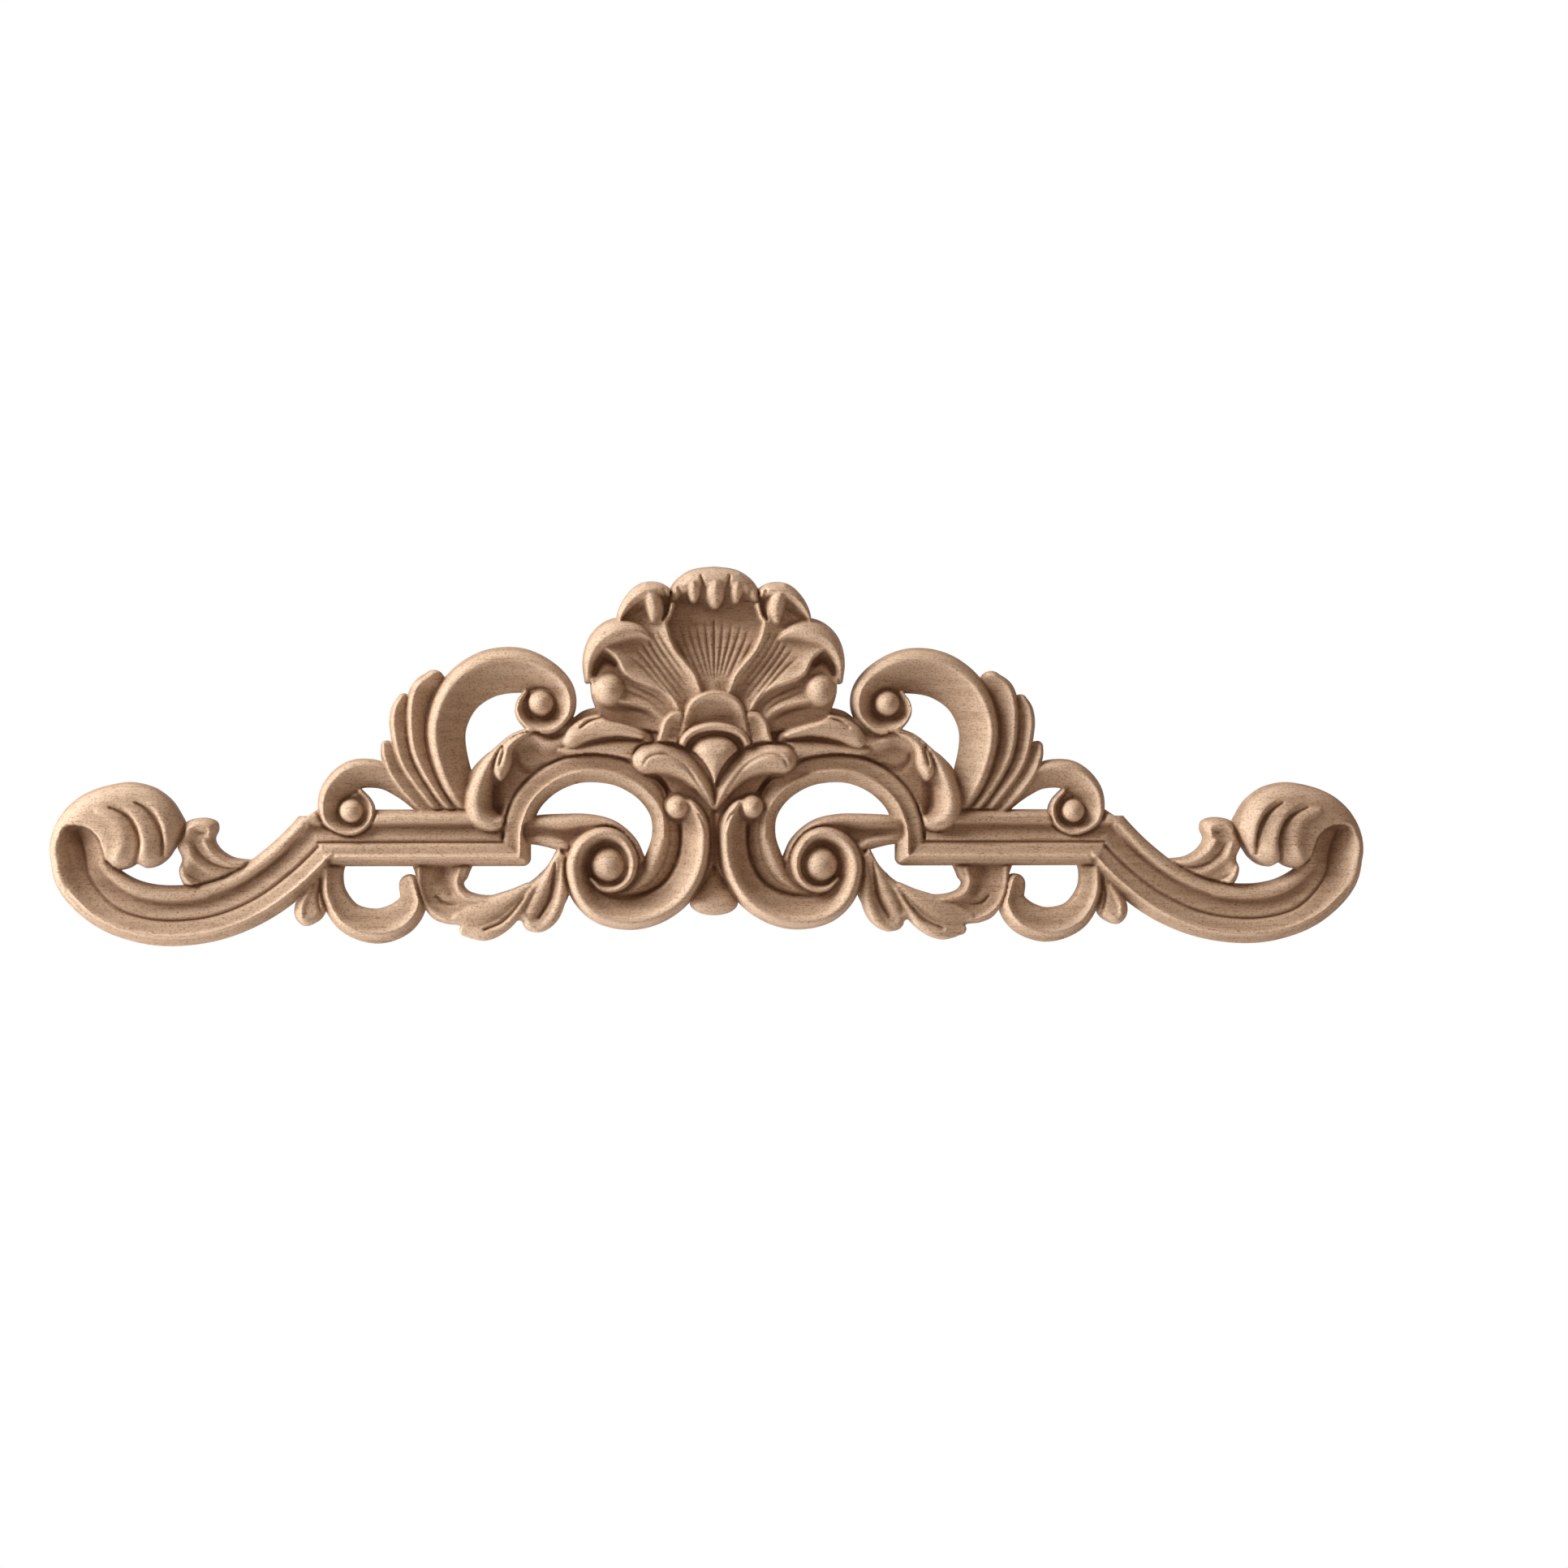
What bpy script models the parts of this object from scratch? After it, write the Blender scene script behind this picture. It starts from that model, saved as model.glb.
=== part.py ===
"""A carved wooden pediment onlay: a scallop shell over scrolls, acanthus and a moulded bar.

It stands upright as it hangs on a wall or a door: X along it, Z up, its flat back on Y = 0 and its
carved face towards -Y. The drawing below is in millimetres, and the solid is made in metres.
"""
import math

import bmesh
import bpy
import numpy as np

NAME = "carved_onlay"
COLLECTION = "wooden_pediment_onlay"
WOOD_COLOUR = (0.60, 0.40, 0.25, 1.0)
WOOD_ROUGHNESS = 0.62
MM = 0.001

# Driving dimensions, in millimetres. The carving is as thick as its highest relief.
LENGTH = 450.0
# The wood's thickness at its outline, and the least that a cut leaves.
EDGE = 4.0
FLOOR = 1.5
# The front is drawn on a grid of this step, then reduced to this share of its triangles.
GRID_STEP = 1.0
KEPT_SHARE = 0.125
# How near the centre line an end of the outline is taken onto it.
PLANE_REACH = 0.35

# The drawing: control points chosen by hand on the photograph, in its pixels, for the left half.
# The photograph is taken a little from the left, so its scale grows slowly to the left.
CENTRE_X = 880
GROUND_Y = 1040
LEFT_REACH_PX, RIGHT_REACH_PX = 820, 801
PX_GROWTH = 2 * (LEFT_REACH_PX - RIGHT_REACH_PX) / (LENGTH * (LEFT_REACH_PX + RIGHT_REACH_PX))
PX_PER_MM = 2 * RIGHT_REACH_PX / LENGTH + PX_GROWTH * RIGHT_REACH_PX
# The drawing's window, in pixels from the centre line and from the ground line.
LEFT_PX, TOP_PX, BOTTOM_PX = 830, 350, 135


def to_mm(px, py):
    """A point of the photograph in millimetres from the centre line and the ground line."""
    offset = px - CENTRE_X
    scale = PX_PER_MM - PX_GROWTH * offset
    return offset / scale, (GROUND_Y - py) / scale, 1 / scale


def rows_mm(rows):
    """Rows of x, y, width and height, the first three in pixels and the height in millimetres."""
    out = []
    for px, py, width, height in rows:
        x, z, mm = to_mm(px, py)
        out.append((x, z, width * mm, height))
    return out


def spline(rows, steps):
    """A Catmull-Rom curve through the rows, with every column carried along."""
    points = np.array(rows, float)
    points = np.vstack([2 * points[0] - points[1], points, 2 * points[-1] - points[-2]])
    t = np.linspace(0, 1, steps, endpoint=False)[:, None]
    out = []
    for a, b, c, d in zip(points[:-3], points[1:-2], points[2:-1], points[3:]):
        bend = 2 * a - 5 * b + 4 * c - d
        out.append(0.5 * (2 * b + (c - a) * t + bend * t**2 + (3 * b - a - 3 * c + d) * t**3))
    return np.vstack(out + [points[-2:-1]])


def section(*knots, soften=0.015):
    """A cross-section: the share of the height at each share of the width, with softened corners."""
    fine = np.linspace(-0.2, 1.2, 1401)
    share, level = np.array(knots, float).T
    table = np.interp(fine, share, level)
    reach = np.arange(-60, 61) * 0.001
    kernel = np.exp(-0.5 * (reach / soften) ** 2)
    table = np.convolve(np.pad(table, 60, mode="edge"), kernel / kernel.sum(), mode="valid")
    return lambda s: np.interp(s, fine, table)


def ease(t):
    t = np.clip(t, 0, 1)
    return t * t * (3 - 2 * t)


# Cross-sections, from the left of the stroke's travel to its right.
MOULDING = section((0, 0), (.04, .35), (.1, .75), (.16, 1), (.185, 1), (.22, .9), (.38, .76), (.4, .66),
                   (.418, .15), (.436, .55), (.46, .62), (.52, .54), (.6, .4), (.7, .28), (.735, .3),
                   (.755, .72), (.8, .84), (.88, .84), (.95, .55), (1, .05), soften=0.006)
MOULDING_END = section((0, .1), (.04, .75), (.09, 1), (.13, .95), (.25, .4), (.36, .08), (.4, .02),
                       (.418, -.12), (.44, .15), (.6, .3), (.8, .52), (.92, .68), (.97, .66), (1, .4),
                       soften=0.006)
ARCH = section((0, 0), (.14, .6), (.34, .98), (.38, 1), (.41, .95), (.45, .72), (.6, .66), (.8, .7),
               (.93, .62), (.97, .35), (1, .05), soften=0.008)
ARCH_TAIL = section((0, 0), (.15, .7), (.3, 1), (.42, .95), (.6, .6), (.8, .3), (1, .05))
LOWER_SCROLL = section((0, 0), (.1, .6), (.2, .95), (.27, 1), (.36, .95), (.5, .68), (.65, .46), (.8, .34),
                       (.93, .3), (1, .1))
PLANED = section((0, 0), (.08, .6), (.18, .93), (.25, 1), (.29, 1), (.34, .88), (1, .05), soften=0.01)
HANGING = section((0, 0), (.1, .4), (.2, .75), (.28, 1), (.32, .92), (.5, .62), (.75, .5), (.92, .4), (1, .1),
                  soften=0.01)
CURL = section((0, .2), (.12, .7), (.3, .95), (.45, 1), (.58, .9), (.75, .55), (.9, .2), (1, 0))
RIB = section((0, 0), (.1, .6), (.21, .97), (.27, 1), (.33, .88), (.85, .3), (1, .1), soften=0.012)
ROUND = section((0, 0), (.1, .5), (.25, .87), (.5, 1), (.75, .87), (.9, .5), (1, 0))
SCALE = section((0, 0), (.12, .75), (.25, 1), (.4, .9), (.7, .4), (1, 0), soften=0.03)


def nearest(path, gx, gz, reach):
    """For each grid point: share of the reach, side, run past an end, and the place along the path."""
    count = len(path) - 1
    best = np.full(gx.shape, 1e9)
    side = np.zeros(gx.shape)
    past = np.zeros(gx.shape)
    place = np.zeros(gx.shape)
    for i in range(count):
        (ax, az), (bx, bz) = path[i, :2], path[i + 1, :2]
        dx, dz = bx - ax, bz - az
        length = np.hypot(dx, dz)
        if length < 1e-9:
            continue
        raw = ((gx - ax) * dx + (gz - az) * dz) / length**2
        along = np.clip(raw, 0, 1)
        away = np.hypot(gx - ax - along * dx, gz - az - along * dz)
        share = away / (reach[i] + along * (reach[i + 1] - reach[i]))
        closer = share < best
        across = (dx * (gz - az) - dz * (gx - ax)) / length
        beyond = np.zeros(gx.shape)
        if i == 0:
            beyond = np.where(raw < 0, -raw * length, beyond)
        if i == count - 1:
            beyond = np.where(raw > 1, (raw - 1) * length, beyond)
        best = np.where(closer, share, best)
        side = np.where(closer, np.where(beyond > 0, across, np.sign(across) * away), side)
        past = np.where(closer, beyond, past)
        place = np.where(closer, i + along, place)
    return best, side, past, place


# How far past a shape the grid is looked at, and the least half width of a stroke or groove, in mm.
MARGIN = 2.5
HALF_LEAST = 0.1
# Steps drawn between two rows of a stroke and between two corners of an outline.
CURVE_STEPS = 8
RING_STEPS = 5
TIP_ROUNDING = 0.7
FAR_OUTSIDE = -50.0


class Relief:
    """Heights over the back plane on a grid, with the distance inside the carving's outline."""

    def __init__(self, step):
        left, top, _ = to_mm(CENTRE_X - LEFT_PX, GROUND_Y - TOP_PX)
        bottom = to_mm(CENTRE_X, GROUND_Y + BOTTOM_PX)[1]
        top = max(top, to_mm(CENTRE_X, GROUND_Y - TOP_PX)[1])
        self.xs = np.arange(-math.ceil(-left / step), 1) * step
        self.zs = np.arange(math.floor(bottom / step), math.ceil(top / step) + 1) * step
        self.x, self.z = np.meshgrid(self.xs, self.zs)
        self.height = np.zeros(self.x.shape)
        self.inside = np.full(self.x.shape, FAR_OUTSIDE)

    def window(self, points, reach):
        low = points[:, :2].min(0) - reach
        high = points[:, :2].max(0) + reach
        columns = slice(np.searchsorted(self.xs, low[0]), np.searchsorted(self.xs, high[0]))
        lines = slice(np.searchsorted(self.zs, low[1]), np.searchsorted(self.zs, high[1]))
        return lines, columns

    def lay(self, win, value, depth_in, within, over, moat=None):
        """Lay a shape on the relief, with a moat cut round it where one is asked for."""
        height = self.height[win]
        if moat:
            width, deep = moat
            cut = np.where((depth_in < 0) & (depth_in > -width), 1 + depth_in / width, 0)
            height = np.maximum(height - deep * cut, FLOOR)
        replaced = np.where(over, value, np.maximum(height, value))
        self.height[win] = np.where(within, replaced, height)
        self.inside[win] = np.maximum(self.inside[win], depth_in)

    def stroke(self, rows, profile, edge=EDGE, moat=None, over=True, flip=False, late=None, late_at=(0, 1),
               clip=(), steps=CURVE_STEPS, seam=None):
        """A carved band along a curve; over can be the share of the width past which it replaces, and
        seam the share that the section's seam has at the band's start and the share it drifts to. Each
        clip gives a point on a cutting line, the direction kept and how far the cut laps over, in mm."""
        path = spline(rows_mm(rows), steps)
        half = np.maximum(path[:, 2] / 2, HALF_LEAST)
        win = self.window(path, half.max() + MARGIN)
        gx, gz = self.x[win], self.z[win]
        best, side, past, place = nearest(path, gx, gz, half)
        marks = np.arange(len(path))
        width = np.interp(place, marks, half)
        top = np.interp(place, marks, path[:, 3])
        cap = np.sqrt(np.clip(1 - (past / width) ** 2, 0, 1))
        share = 0.5 - 0.5 * np.clip(side / np.maximum(width * cap, 1e-6), -1.3, 1.3)
        if flip:
            share = 1 - share
        blend = ease((place / (len(path) - 1) - late_at[0]) / (late_at[1] - late_at[0]))
        if seam is not None:
            first = seam[0]
            now = first + (seam[1] - first) * blend
            share = np.where(share < now, share * first / now, 1 - (1 - share) * (1 - first) / (1 - now))
        level = profile(share)
        if late is not None:
            level = level * (1 - blend) + late(share) * blend
        value = edge + (top - edge) * level * np.where(past > 0, cap**TIP_ROUNDING, 1)
        within = best <= 1
        depth_in = (1 - best) * width
        for px, py, dx, dz, lap in clip:
            x, z, _ = to_mm(px, py)
            distance = ((gx - x) * dx + (gz - z) * dz) / math.hypot(dx, dz)
            within &= distance >= 0
            depth_in = np.minimum(depth_in, distance + lap)
        replace = share > over if isinstance(over, float) else np.full(gx.shape, over)
        self.lay(win, value, depth_in, within, replace, moat)

    def dome(self, px, py, radius, top, tall=None, moat=None):
        """A round or oval boss, sized in pixels across and tall."""
        x, z, mm = to_mm(px, py)
        rx, rz = radius * mm, (tall or radius) * mm
        win = self.window(np.array([[x, z]]), max(rx, rz) + MARGIN)
        away = np.hypot((self.x[win] - x) / rx, (self.z[win] - z) / rz)
        value = EDGE + (top - EDGE) * np.sqrt(np.clip(1 - away**2, 0, 1))
        self.lay(win, value, (1 - away) * min(rx, rz), away <= 1, False, moat)

    def groove(self, rows, depth):
        """A V-cut along a curve; its rows give x, y and width."""
        path = spline(rows_mm([(*row, 0) for row in rows]), CURVE_STEPS)
        half = np.maximum(path[:, 2] / 2, HALF_LEAST)
        win = self.window(path, half.max() + MARGIN)
        best = nearest(path, self.x[win], self.z[win], half)[0]
        cut = depth * np.clip(1 - best, 0, 1)
        self.height[win] = np.where(best < 1, np.maximum(self.height[win] - cut, FLOOR), self.height[win])

    def round_corner(self, px, py, radius):
        """Round off the lower right corner of a plate with a level and an upright side."""
        x, z, mm = to_mm(px - radius, py - radius)
        right, down = self.x - x, z - self.z
        near = (right > 0) & (down > 0) & (right < 2 * radius * mm) & (down < 2 * radius * mm)
        rounded = np.minimum(self.inside, radius * mm - np.hypot(right, down))
        self.inside = np.where(near, rounded, self.inside)

    def swell(self, rows, rise, profile=None, flip=False):
        """Raise the surface, or sink it, along a curve; its rows give x, y and width, and it fades as
        it narrows. Without a profile it is a soft ridge."""
        path = spline(rows_mm([(*row, 0) for row in rows]), CURVE_STEPS)
        half = np.maximum(path[:, 2] / 2, HALF_LEAST)
        win = self.window(path, half.max() + MARGIN)
        best, side, _, place = nearest(path, self.x[win], self.z[win], half)
        level = ease(1 - best)
        if profile is not None:
            width = np.interp(place, np.arange(len(path)), half)
            share = 0.5 - 0.5 * np.clip(side / width, -1, 1)
            level = np.where(best < 1, profile(1 - share if flip else share) * width / half.max(), 0)
        self.height[win] = np.maximum(self.height[win] + rise * level, FLOOR)

    def ring(self, outline):
        """The grid window of a closed outline and how far inside it each grid point lies."""
        corners = [to_mm(*point)[:2] for point in outline]
        ring = spline(corners[-1:] + corners + corners[:2], RING_STEPS)[RING_STEPS:-RING_STEPS]
        win = self.window(ring, MARGIN)
        gx, gz = self.x[win], self.z[win]
        away = nearest(ring, gx, gz, np.ones(len(ring)))[0]
        crossings = np.zeros(gx.shape, int)
        for (ax, az), (bx, bz) in zip(ring[:-1], ring[1:]):
            spans = (az <= gz) != (bz <= gz)
            if bz != az:
                crossings += spans & (ax + (gz - az) / (bz - az) * (bx - ax) > gx)
        return win, np.where(crossings % 2 == 1, away, -away)

    def pad(self, outline, start, end=None, rim=1.0, dish=0.0, fall=2.5, edge=EDGE, over=True):
        """A leaf or plate inside a closed outline: a rolled rim, a height from start to end and a dish."""
        win, depth_in = self.ring(outline)
        top = start[2]
        if end is not None:
            ax, az, _ = to_mm(*start[:2])
            bx, bz, _ = to_mm(*end[:2])
            run = ((self.x[win] - ax) * (bx - ax) + (self.z[win] - az) * (bz - az))
            top = start[2] + (end[2] - start[2]) * np.clip(run / ((bx - ax) ** 2 + (bz - az) ** 2), 0, 1)
        roll = np.sqrt(1 - (1 - np.clip(depth_in / rim, 0, 1)) ** 2)
        value = edge + (top - edge) * roll - dish * ease((depth_in - rim * 0.8) / fall)
        self.lay(win, value, depth_in, depth_in >= 0, over)

    def fan(self, outline, ridges, dishes, cliff):
        """Panels between ridges, from the centre line outwards; a ridge's rows give x, y and the heights
        on its side towards the centre line and on its outer side, a dish how far its panel sags."""
        win, depth_in = self.ring(outline)
        gx, gz = self.x[win], self.z[win]
        value = np.zeros(gx.shape)
        last = None
        for ridge, next_dish in zip(ridges, dishes):
            rows = [(*to_mm(px, py)[:2], near, far) for px, py, near, far in ridge]
            path = spline(rows, CURVE_STEPS)
            away, side, _, place = nearest(path, gx, gz, np.ones(len(path)))
            marks = np.arange(len(path))
            near = np.interp(place, marks, path[:, 2])
            far = np.interp(place, marks, path[:, 3])
            crest = np.maximum(near, far)
            if last is not None:
                away_in, far_in, crest_in, outer_in, dish = last
                share = away_in / (away_in + away)
                level = far_in * (1 - share) + near * share - 4 * dish * share * (1 - share)
                level += (crest_in - far_in) * (1 - ease(away_in / cliff))
                level += (crest - near) * (1 - ease(away / cliff))
                value = np.where(outer_in, level, value)
            last = (away, far, crest, side <= 0, next_dish)
        away_in, far_in, crest_in, outer_in, dish = last
        level = far_in + (crest_in - far_in) * (1 - ease(away_in / cliff)) - dish * ease(away_in / 6)
        value = np.where(outer_in, level, value)
        self.lay(win, value, depth_in, depth_in >= 0, True)


def webs(relief):
    """The low wood that joins the leaves, the scrolls and the shell, and the bud at the bottom middle."""
    web = [(600, 1000), (612, 965), (628, 925), (650, 900), (690, 892), (706, 884), (722, 874), (760, 866),
           (800, 850), (900, 850), (900, 1100), (850, 1100), (826, 1070), (826, 1030), (800, 965), (740, 942),
           (690, 952), (660, 975), (640, 1010)]
    relief.pad(web, (700, 900, 6.5))
    middle_bud = [(880, 1066), (868, 1084), (853, 1104), (851, 1116), (862, 1125), (880, 1128), (898, 1125),
                  (909, 1116), (907, 1104), (892, 1084)]
    relief.pad(middle_bud, (880, 1085, 7), (880, 1112, 9.5), rim=7)


def hanging_bud(relief):
    """The small bud that peeps out under the bar's left end."""
    outline = [(392, 1064), (380, 1086), (364, 1110), (362, 1128), (372, 1140), (386, 1138), (400, 1124),
               (410, 1080)]
    cheek = [(384, 1092, 6), (373, 1112, 12), (372, 1128, 6)]
    crease = [(396, 1082, 2), (391, 1100, 5), (393, 1118, 4), (398, 1128, 2)]
    relief.pad(outline, (392, 1080, 6), (375, 1135, 8.5), rim=3)
    relief.groove(crease, 2)
    relief.swell(cheek, .8)


def hanging_scroll(relief):
    """The C that hangs below the bar and ends in a broad tip."""
    band = [(412, 1050, 34, 6), (408, 1076, 28, 8), (411, 1104, 32, 9), (430, 1131, 38, 9),
            (463, 1141, 43, 9), (492, 1132, 42, 9), (508, 1112, 34, 9), (504, 1090, 26, 8)]
    relief.stroke(band, HANGING, flip=True)


def acanthus(relief):
    """The leaf below the bar: a hollow stub, then two lobes folded along their slits."""
    outline = [(510, 1050), (512, 1080), (516, 1105), (530, 1129), (548, 1138), (567, 1141), (577, 1155),
               (592, 1157), (615, 1151), (639, 1134), (648, 1145), (660, 1148), (678, 1140), (691, 1122),
               (702, 1100), (709, 1065), (707, 1040), (697, 1035), (687, 1045), (674, 1067), (655, 1085),
               (633, 1096), (604, 1103), (580, 1099), (571, 1089), (577, 1078), (580, 1050)]
    stub_rim = [(516, 1068, 8), (517, 1092, 11), (526, 1116, 11), (544, 1130, 10), (566, 1136, 5)]
    stub_hollow = [(545, 1062, 24), (546, 1082, 32), (556, 1098, 20)]
    stub_cheek = [(566, 1070, 8), (562, 1090, 12), (574, 1104, 12), (600, 1110, 8)]
    stub_crease = [(537, 1104, 3), (547, 1113, 5), (562, 1115, 2)]
    lobes = [
        [(573, 1146, 15, 8), (598, 1148, 22, 9.3), (622, 1136, 20, 9.6), (640, 1116, 16, 9.8),
         (655, 1096, 8, 9.5)],
        [(562, 1130, 10, 8), (588, 1128, 30, 9), (612, 1116, 28, 9.6), (633, 1104, 18, 9.8),
         (650, 1092, 9, 9)],
        [(650, 1138, 12, 8), (664, 1142, 14, 9), (680, 1130, 16, 9.8), (690, 1106, 15, 10),
         (694, 1070, 12, 9.5), (697, 1044, 6, 8.5)],
        [(648, 1140, 6, 8), (655, 1122, 18, 9.5), (668, 1096, 18, 9.8), (682, 1066, 12, 9.5),
         (692, 1046, 6, 8.5)],
    ]
    right_slit = [(684, 1062, 2), (681, 1080, 5), (677, 1106, 6), (663, 1131, 3)]
    left_slit = [(646, 1104, 2), (632, 1122, 5), (617, 1136, 6), (596, 1145, 3)]
    relief.pad(outline, (545, 1075, 5.5), (620, 1110, 9), rim=2.4, dish=.8, fall=4)
    relief.swell(stub_rim, 1.5)
    relief.swell(stub_hollow, -1.8)
    relief.swell(stub_cheek, 1)
    for lobe in lobes:
        relief.stroke(lobe, ROUND, edge=7.5, over=False)
    relief.groove(right_slit, 2.4)
    relief.groove(left_slit, 2.4)
    relief.groove(stub_crease, 1.8)


def feather_ribs(relief):
    """Three ribs behind the upper scroll, each over the one outside it."""
    ribs = [
        [(548, 1010, 20, 5), (520, 985, 22, 6.5), (496, 955, 23, 7), (483, 932, 20, 7), (478, 920, 15, 6.5)],
        [(562, 1010, 22, 5.5), (536, 978, 24, 7.5), (512, 938, 25, 8), (500, 898, 25, 8), (497, 876, 21, 7.5),
         (499, 864, 15, 7)],
        [(580, 1010, 24, 6), (552, 972, 27, 8), (531, 928, 28, 9), (523, 885, 28, 9), (529, 854, 27, 8.5),
         (540, 838, 21, 8)],
    ]
    for rib in ribs:
        relief.stroke(rib, RIB)


def upper_scroll(relief):
    """The large C with its eye above the bar."""
    hollow = [(650, 850), (640, 870), (650, 890), (680, 890), (690, 865), (675, 845)]
    band = [(588, 1010, 26, 5), (566, 962, 38, 9.5), (554, 915, 44, 11), (557, 882, 47, 11),
            (573, 852, 51, 11), (600, 830, 56, 11), (636, 825, 56, 11), (668, 834, 46, 11),
            (690, 852, 36, 11), (694, 876, 28, 11), (678, 894, 22, 11), (656, 893, 18, 11),
            (642, 880, 14, 10.5), (641, 866, 11, 10), (648, 853, 7, 9.5)]
    relief.pad(hollow, (666, 866, 6))
    relief.stroke(band, PLANED)
    relief.dome(666, 866, 17, 12, moat=(.8, 1.8))


def bar(relief):
    """The straight moulding, mitred at both ends."""
    band = [(720, 1032, 70, 9), (300, 1032, 70, 9)]
    right_end = (654, 1032, -1, 0, 0)
    mitre = (390, 1035, 64, 30, .3)
    corner_nip = (373, 1008, 11, -17, 0)
    relief.stroke(band, MOULDING, steps=2, clip=[right_end, mitre, corner_nip])


def leaf_cluster(relief):
    """The three lobes over the arch and the wood that falls to the arch's groove."""
    outline = [(579, 952), (574, 985), (580, 1010), (595, 1024), (615, 1024), (630, 1010), (655, 985),
               (700, 962), (760, 950), (803, 950), (806, 908), (775, 890), (743, 882), (705, 896), (680, 908),
               (660, 900), (640, 903), (612, 920), (595, 932)]
    left_hollow = [(620, 940, 16), (610, 965, 28), (610, 988, 26), (616, 1006, 16)]
    left_lobe = [(620, 1010, 10, 9), (605, 1014, 20, 10), (588, 1005, 25, 11), (582, 984, 21, 11),
                 (586, 962, 18, 11), (595, 944, 15, 11), (609, 927, 12, 10.5), (632, 908, 10, 10.5),
                 (656, 898, 8, 10)]
    tip_lobe = [(606, 949), (608, 936), (615, 922), (626, 911), (641, 903), (657, 901), (641, 913),
                (632, 925), (630, 942), (624, 954), (617, 962), (610, 958)]
    tip_slit = [(618, 918, 2), (620, 925, 5), (617, 935, 4), (615, 943, 2)]
    tip_shadow = [(636, 928, 6), (640, 940, 14), (654, 948, 18), (672, 942, 10)]
    low_leaf = [(812, 925, 20, 10), (780, 924, 28, 10), (745, 926, 30, 10), (712, 925, 18, 9.5),
                (690, 924, 8, 8.5)]
    top_lobe = [(693, 912), (700, 896), (719, 884), (742, 880), (760, 884), (776, 893), (794, 903),
                (790, 910), (764, 907), (741, 909), (723, 914), (706, 921), (696, 919)]
    top_slit = [(714, 897, 2), (727, 888, 5), (746, 884, 2)]
    top_nick = [(752, 890, 2), (760, 892, 3), (768, 894, 2)]
    lobe_foot = [(700, 923, 2), (725, 918, 5), (760, 911, 5), (790, 913, 2)]
    low_crease = [(716, 936, 2), (745, 938, 4), (775, 935, 2)]
    relief.pad(outline, (590, 1000, 7), (700, 900, 9), rim=2.5, dish=2.6, fall=4)
    relief.swell(left_hollow, -2.5)
    relief.stroke(left_lobe, CURL, edge=5, over=False)
    relief.pad(tip_lobe, (612, 950, 11.5), (645, 903, 11.5), rim=2.4, edge=6)
    relief.groove(tip_slit, 2.5)
    relief.swell(tip_shadow, -1)
    relief.stroke(low_leaf, ROUND, edge=6, over=False)
    relief.pad(top_lobe, (700, 910, 11.5), (755, 895, 13), rim=3.5, edge=6.5)
    relief.groove(top_slit, 3)
    relief.groove(top_nick, 1.2)
    relief.groove(lobe_foot, 2)
    relief.groove(low_crease, 1)


ARCH_BAND = [(636, 1160, 36, 9), (636, 1035, 36, 9), (641, 1006, 36, 8.5), (653, 982, 36, 8.5),
             (676, 961, 36, 8.5), (706, 948, 36, 8.5), (738, 946, 36, 8.5), (770, 953, 36, 8.5),
             (800, 972, 36, 8.5), (819, 1000, 36, 8.5), (822, 1032, 37, 8.5), (813, 1062, 38, 8.5),
             (801, 1083, 33, 8), (785, 1097, 24, 7.5), (766, 1104, 14, 6.5)]


def arch(relief):
    """The moulding that steps up from the bar, runs round the opening and dies beside the volute."""
    mitre = (618, 1035, 31, 36, .1)
    relief.stroke(ARCH_BAND, ARCH, late=ARCH_TAIL, late_at=(.5, .62), flip=True, clip=[mitre])
    relief.round_corner(654, 1067, 10)


def side_leaf(relief):
    """The leaf between the head and the end scroll."""
    outline = [(226, 1014), (238, 1008), (254, 1007), (266, 1012), (268, 1022), (264, 1032), (267, 1041),
               (276, 1050), (292, 1057), (322, 1058), (350, 1050), (330, 1090), (260, 1110), (236, 1098),
               (224, 1088), (219, 1072), (223, 1058), (217, 1042), (220, 1026)]
    folds = [
        ([(232, 1022, 8), (244, 1015, 18), (258, 1019, 16), (258, 1030, 8)], 1.4),
        ([(224, 1068, 8), (227, 1080, 14), (238, 1090, 10)], 1.2),
        ([(232, 1040, 8), (240, 1058, 16), (262, 1074, 14), (286, 1078, 8)], 1.0),
        ([(252, 1036, 8), (262, 1050, 14), (282, 1062, 10), (300, 1064, 6)], .8),
    ]
    creases = [
        ([(239, 1040, 2), (246, 1052, 4), (261, 1064, 5), (280, 1069, 4), (298, 1068, 2)], 1.6),
        ([(232, 1078, 2), (246, 1085, 4), (264, 1084, 2)], 1.4),
        ([(240, 1020, 2), (250, 1026, 4), (258, 1022, 2)], .8),
    ]
    relief.pad(outline, (240, 1030, 9.5), (300, 1080, 7), rim=3, dish=.8, fall=4)
    for fold, rise in folds:
        relief.swell(fold, rise)
    for crease, depth in creases:
        relief.groove(crease, depth)


END_BAND = [(424, 992, 74, 9), (391, 1034, 74, 9), (354, 1073, 74, 9), (311, 1104, 74, 9),
            (262, 1124, 74, 9), (209, 1130, 75, 9), (166, 1124, 74, 9), (130, 1107, 74, 9),
            (102, 1079, 71, 10), (93, 1049, 67, 11)]


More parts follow.
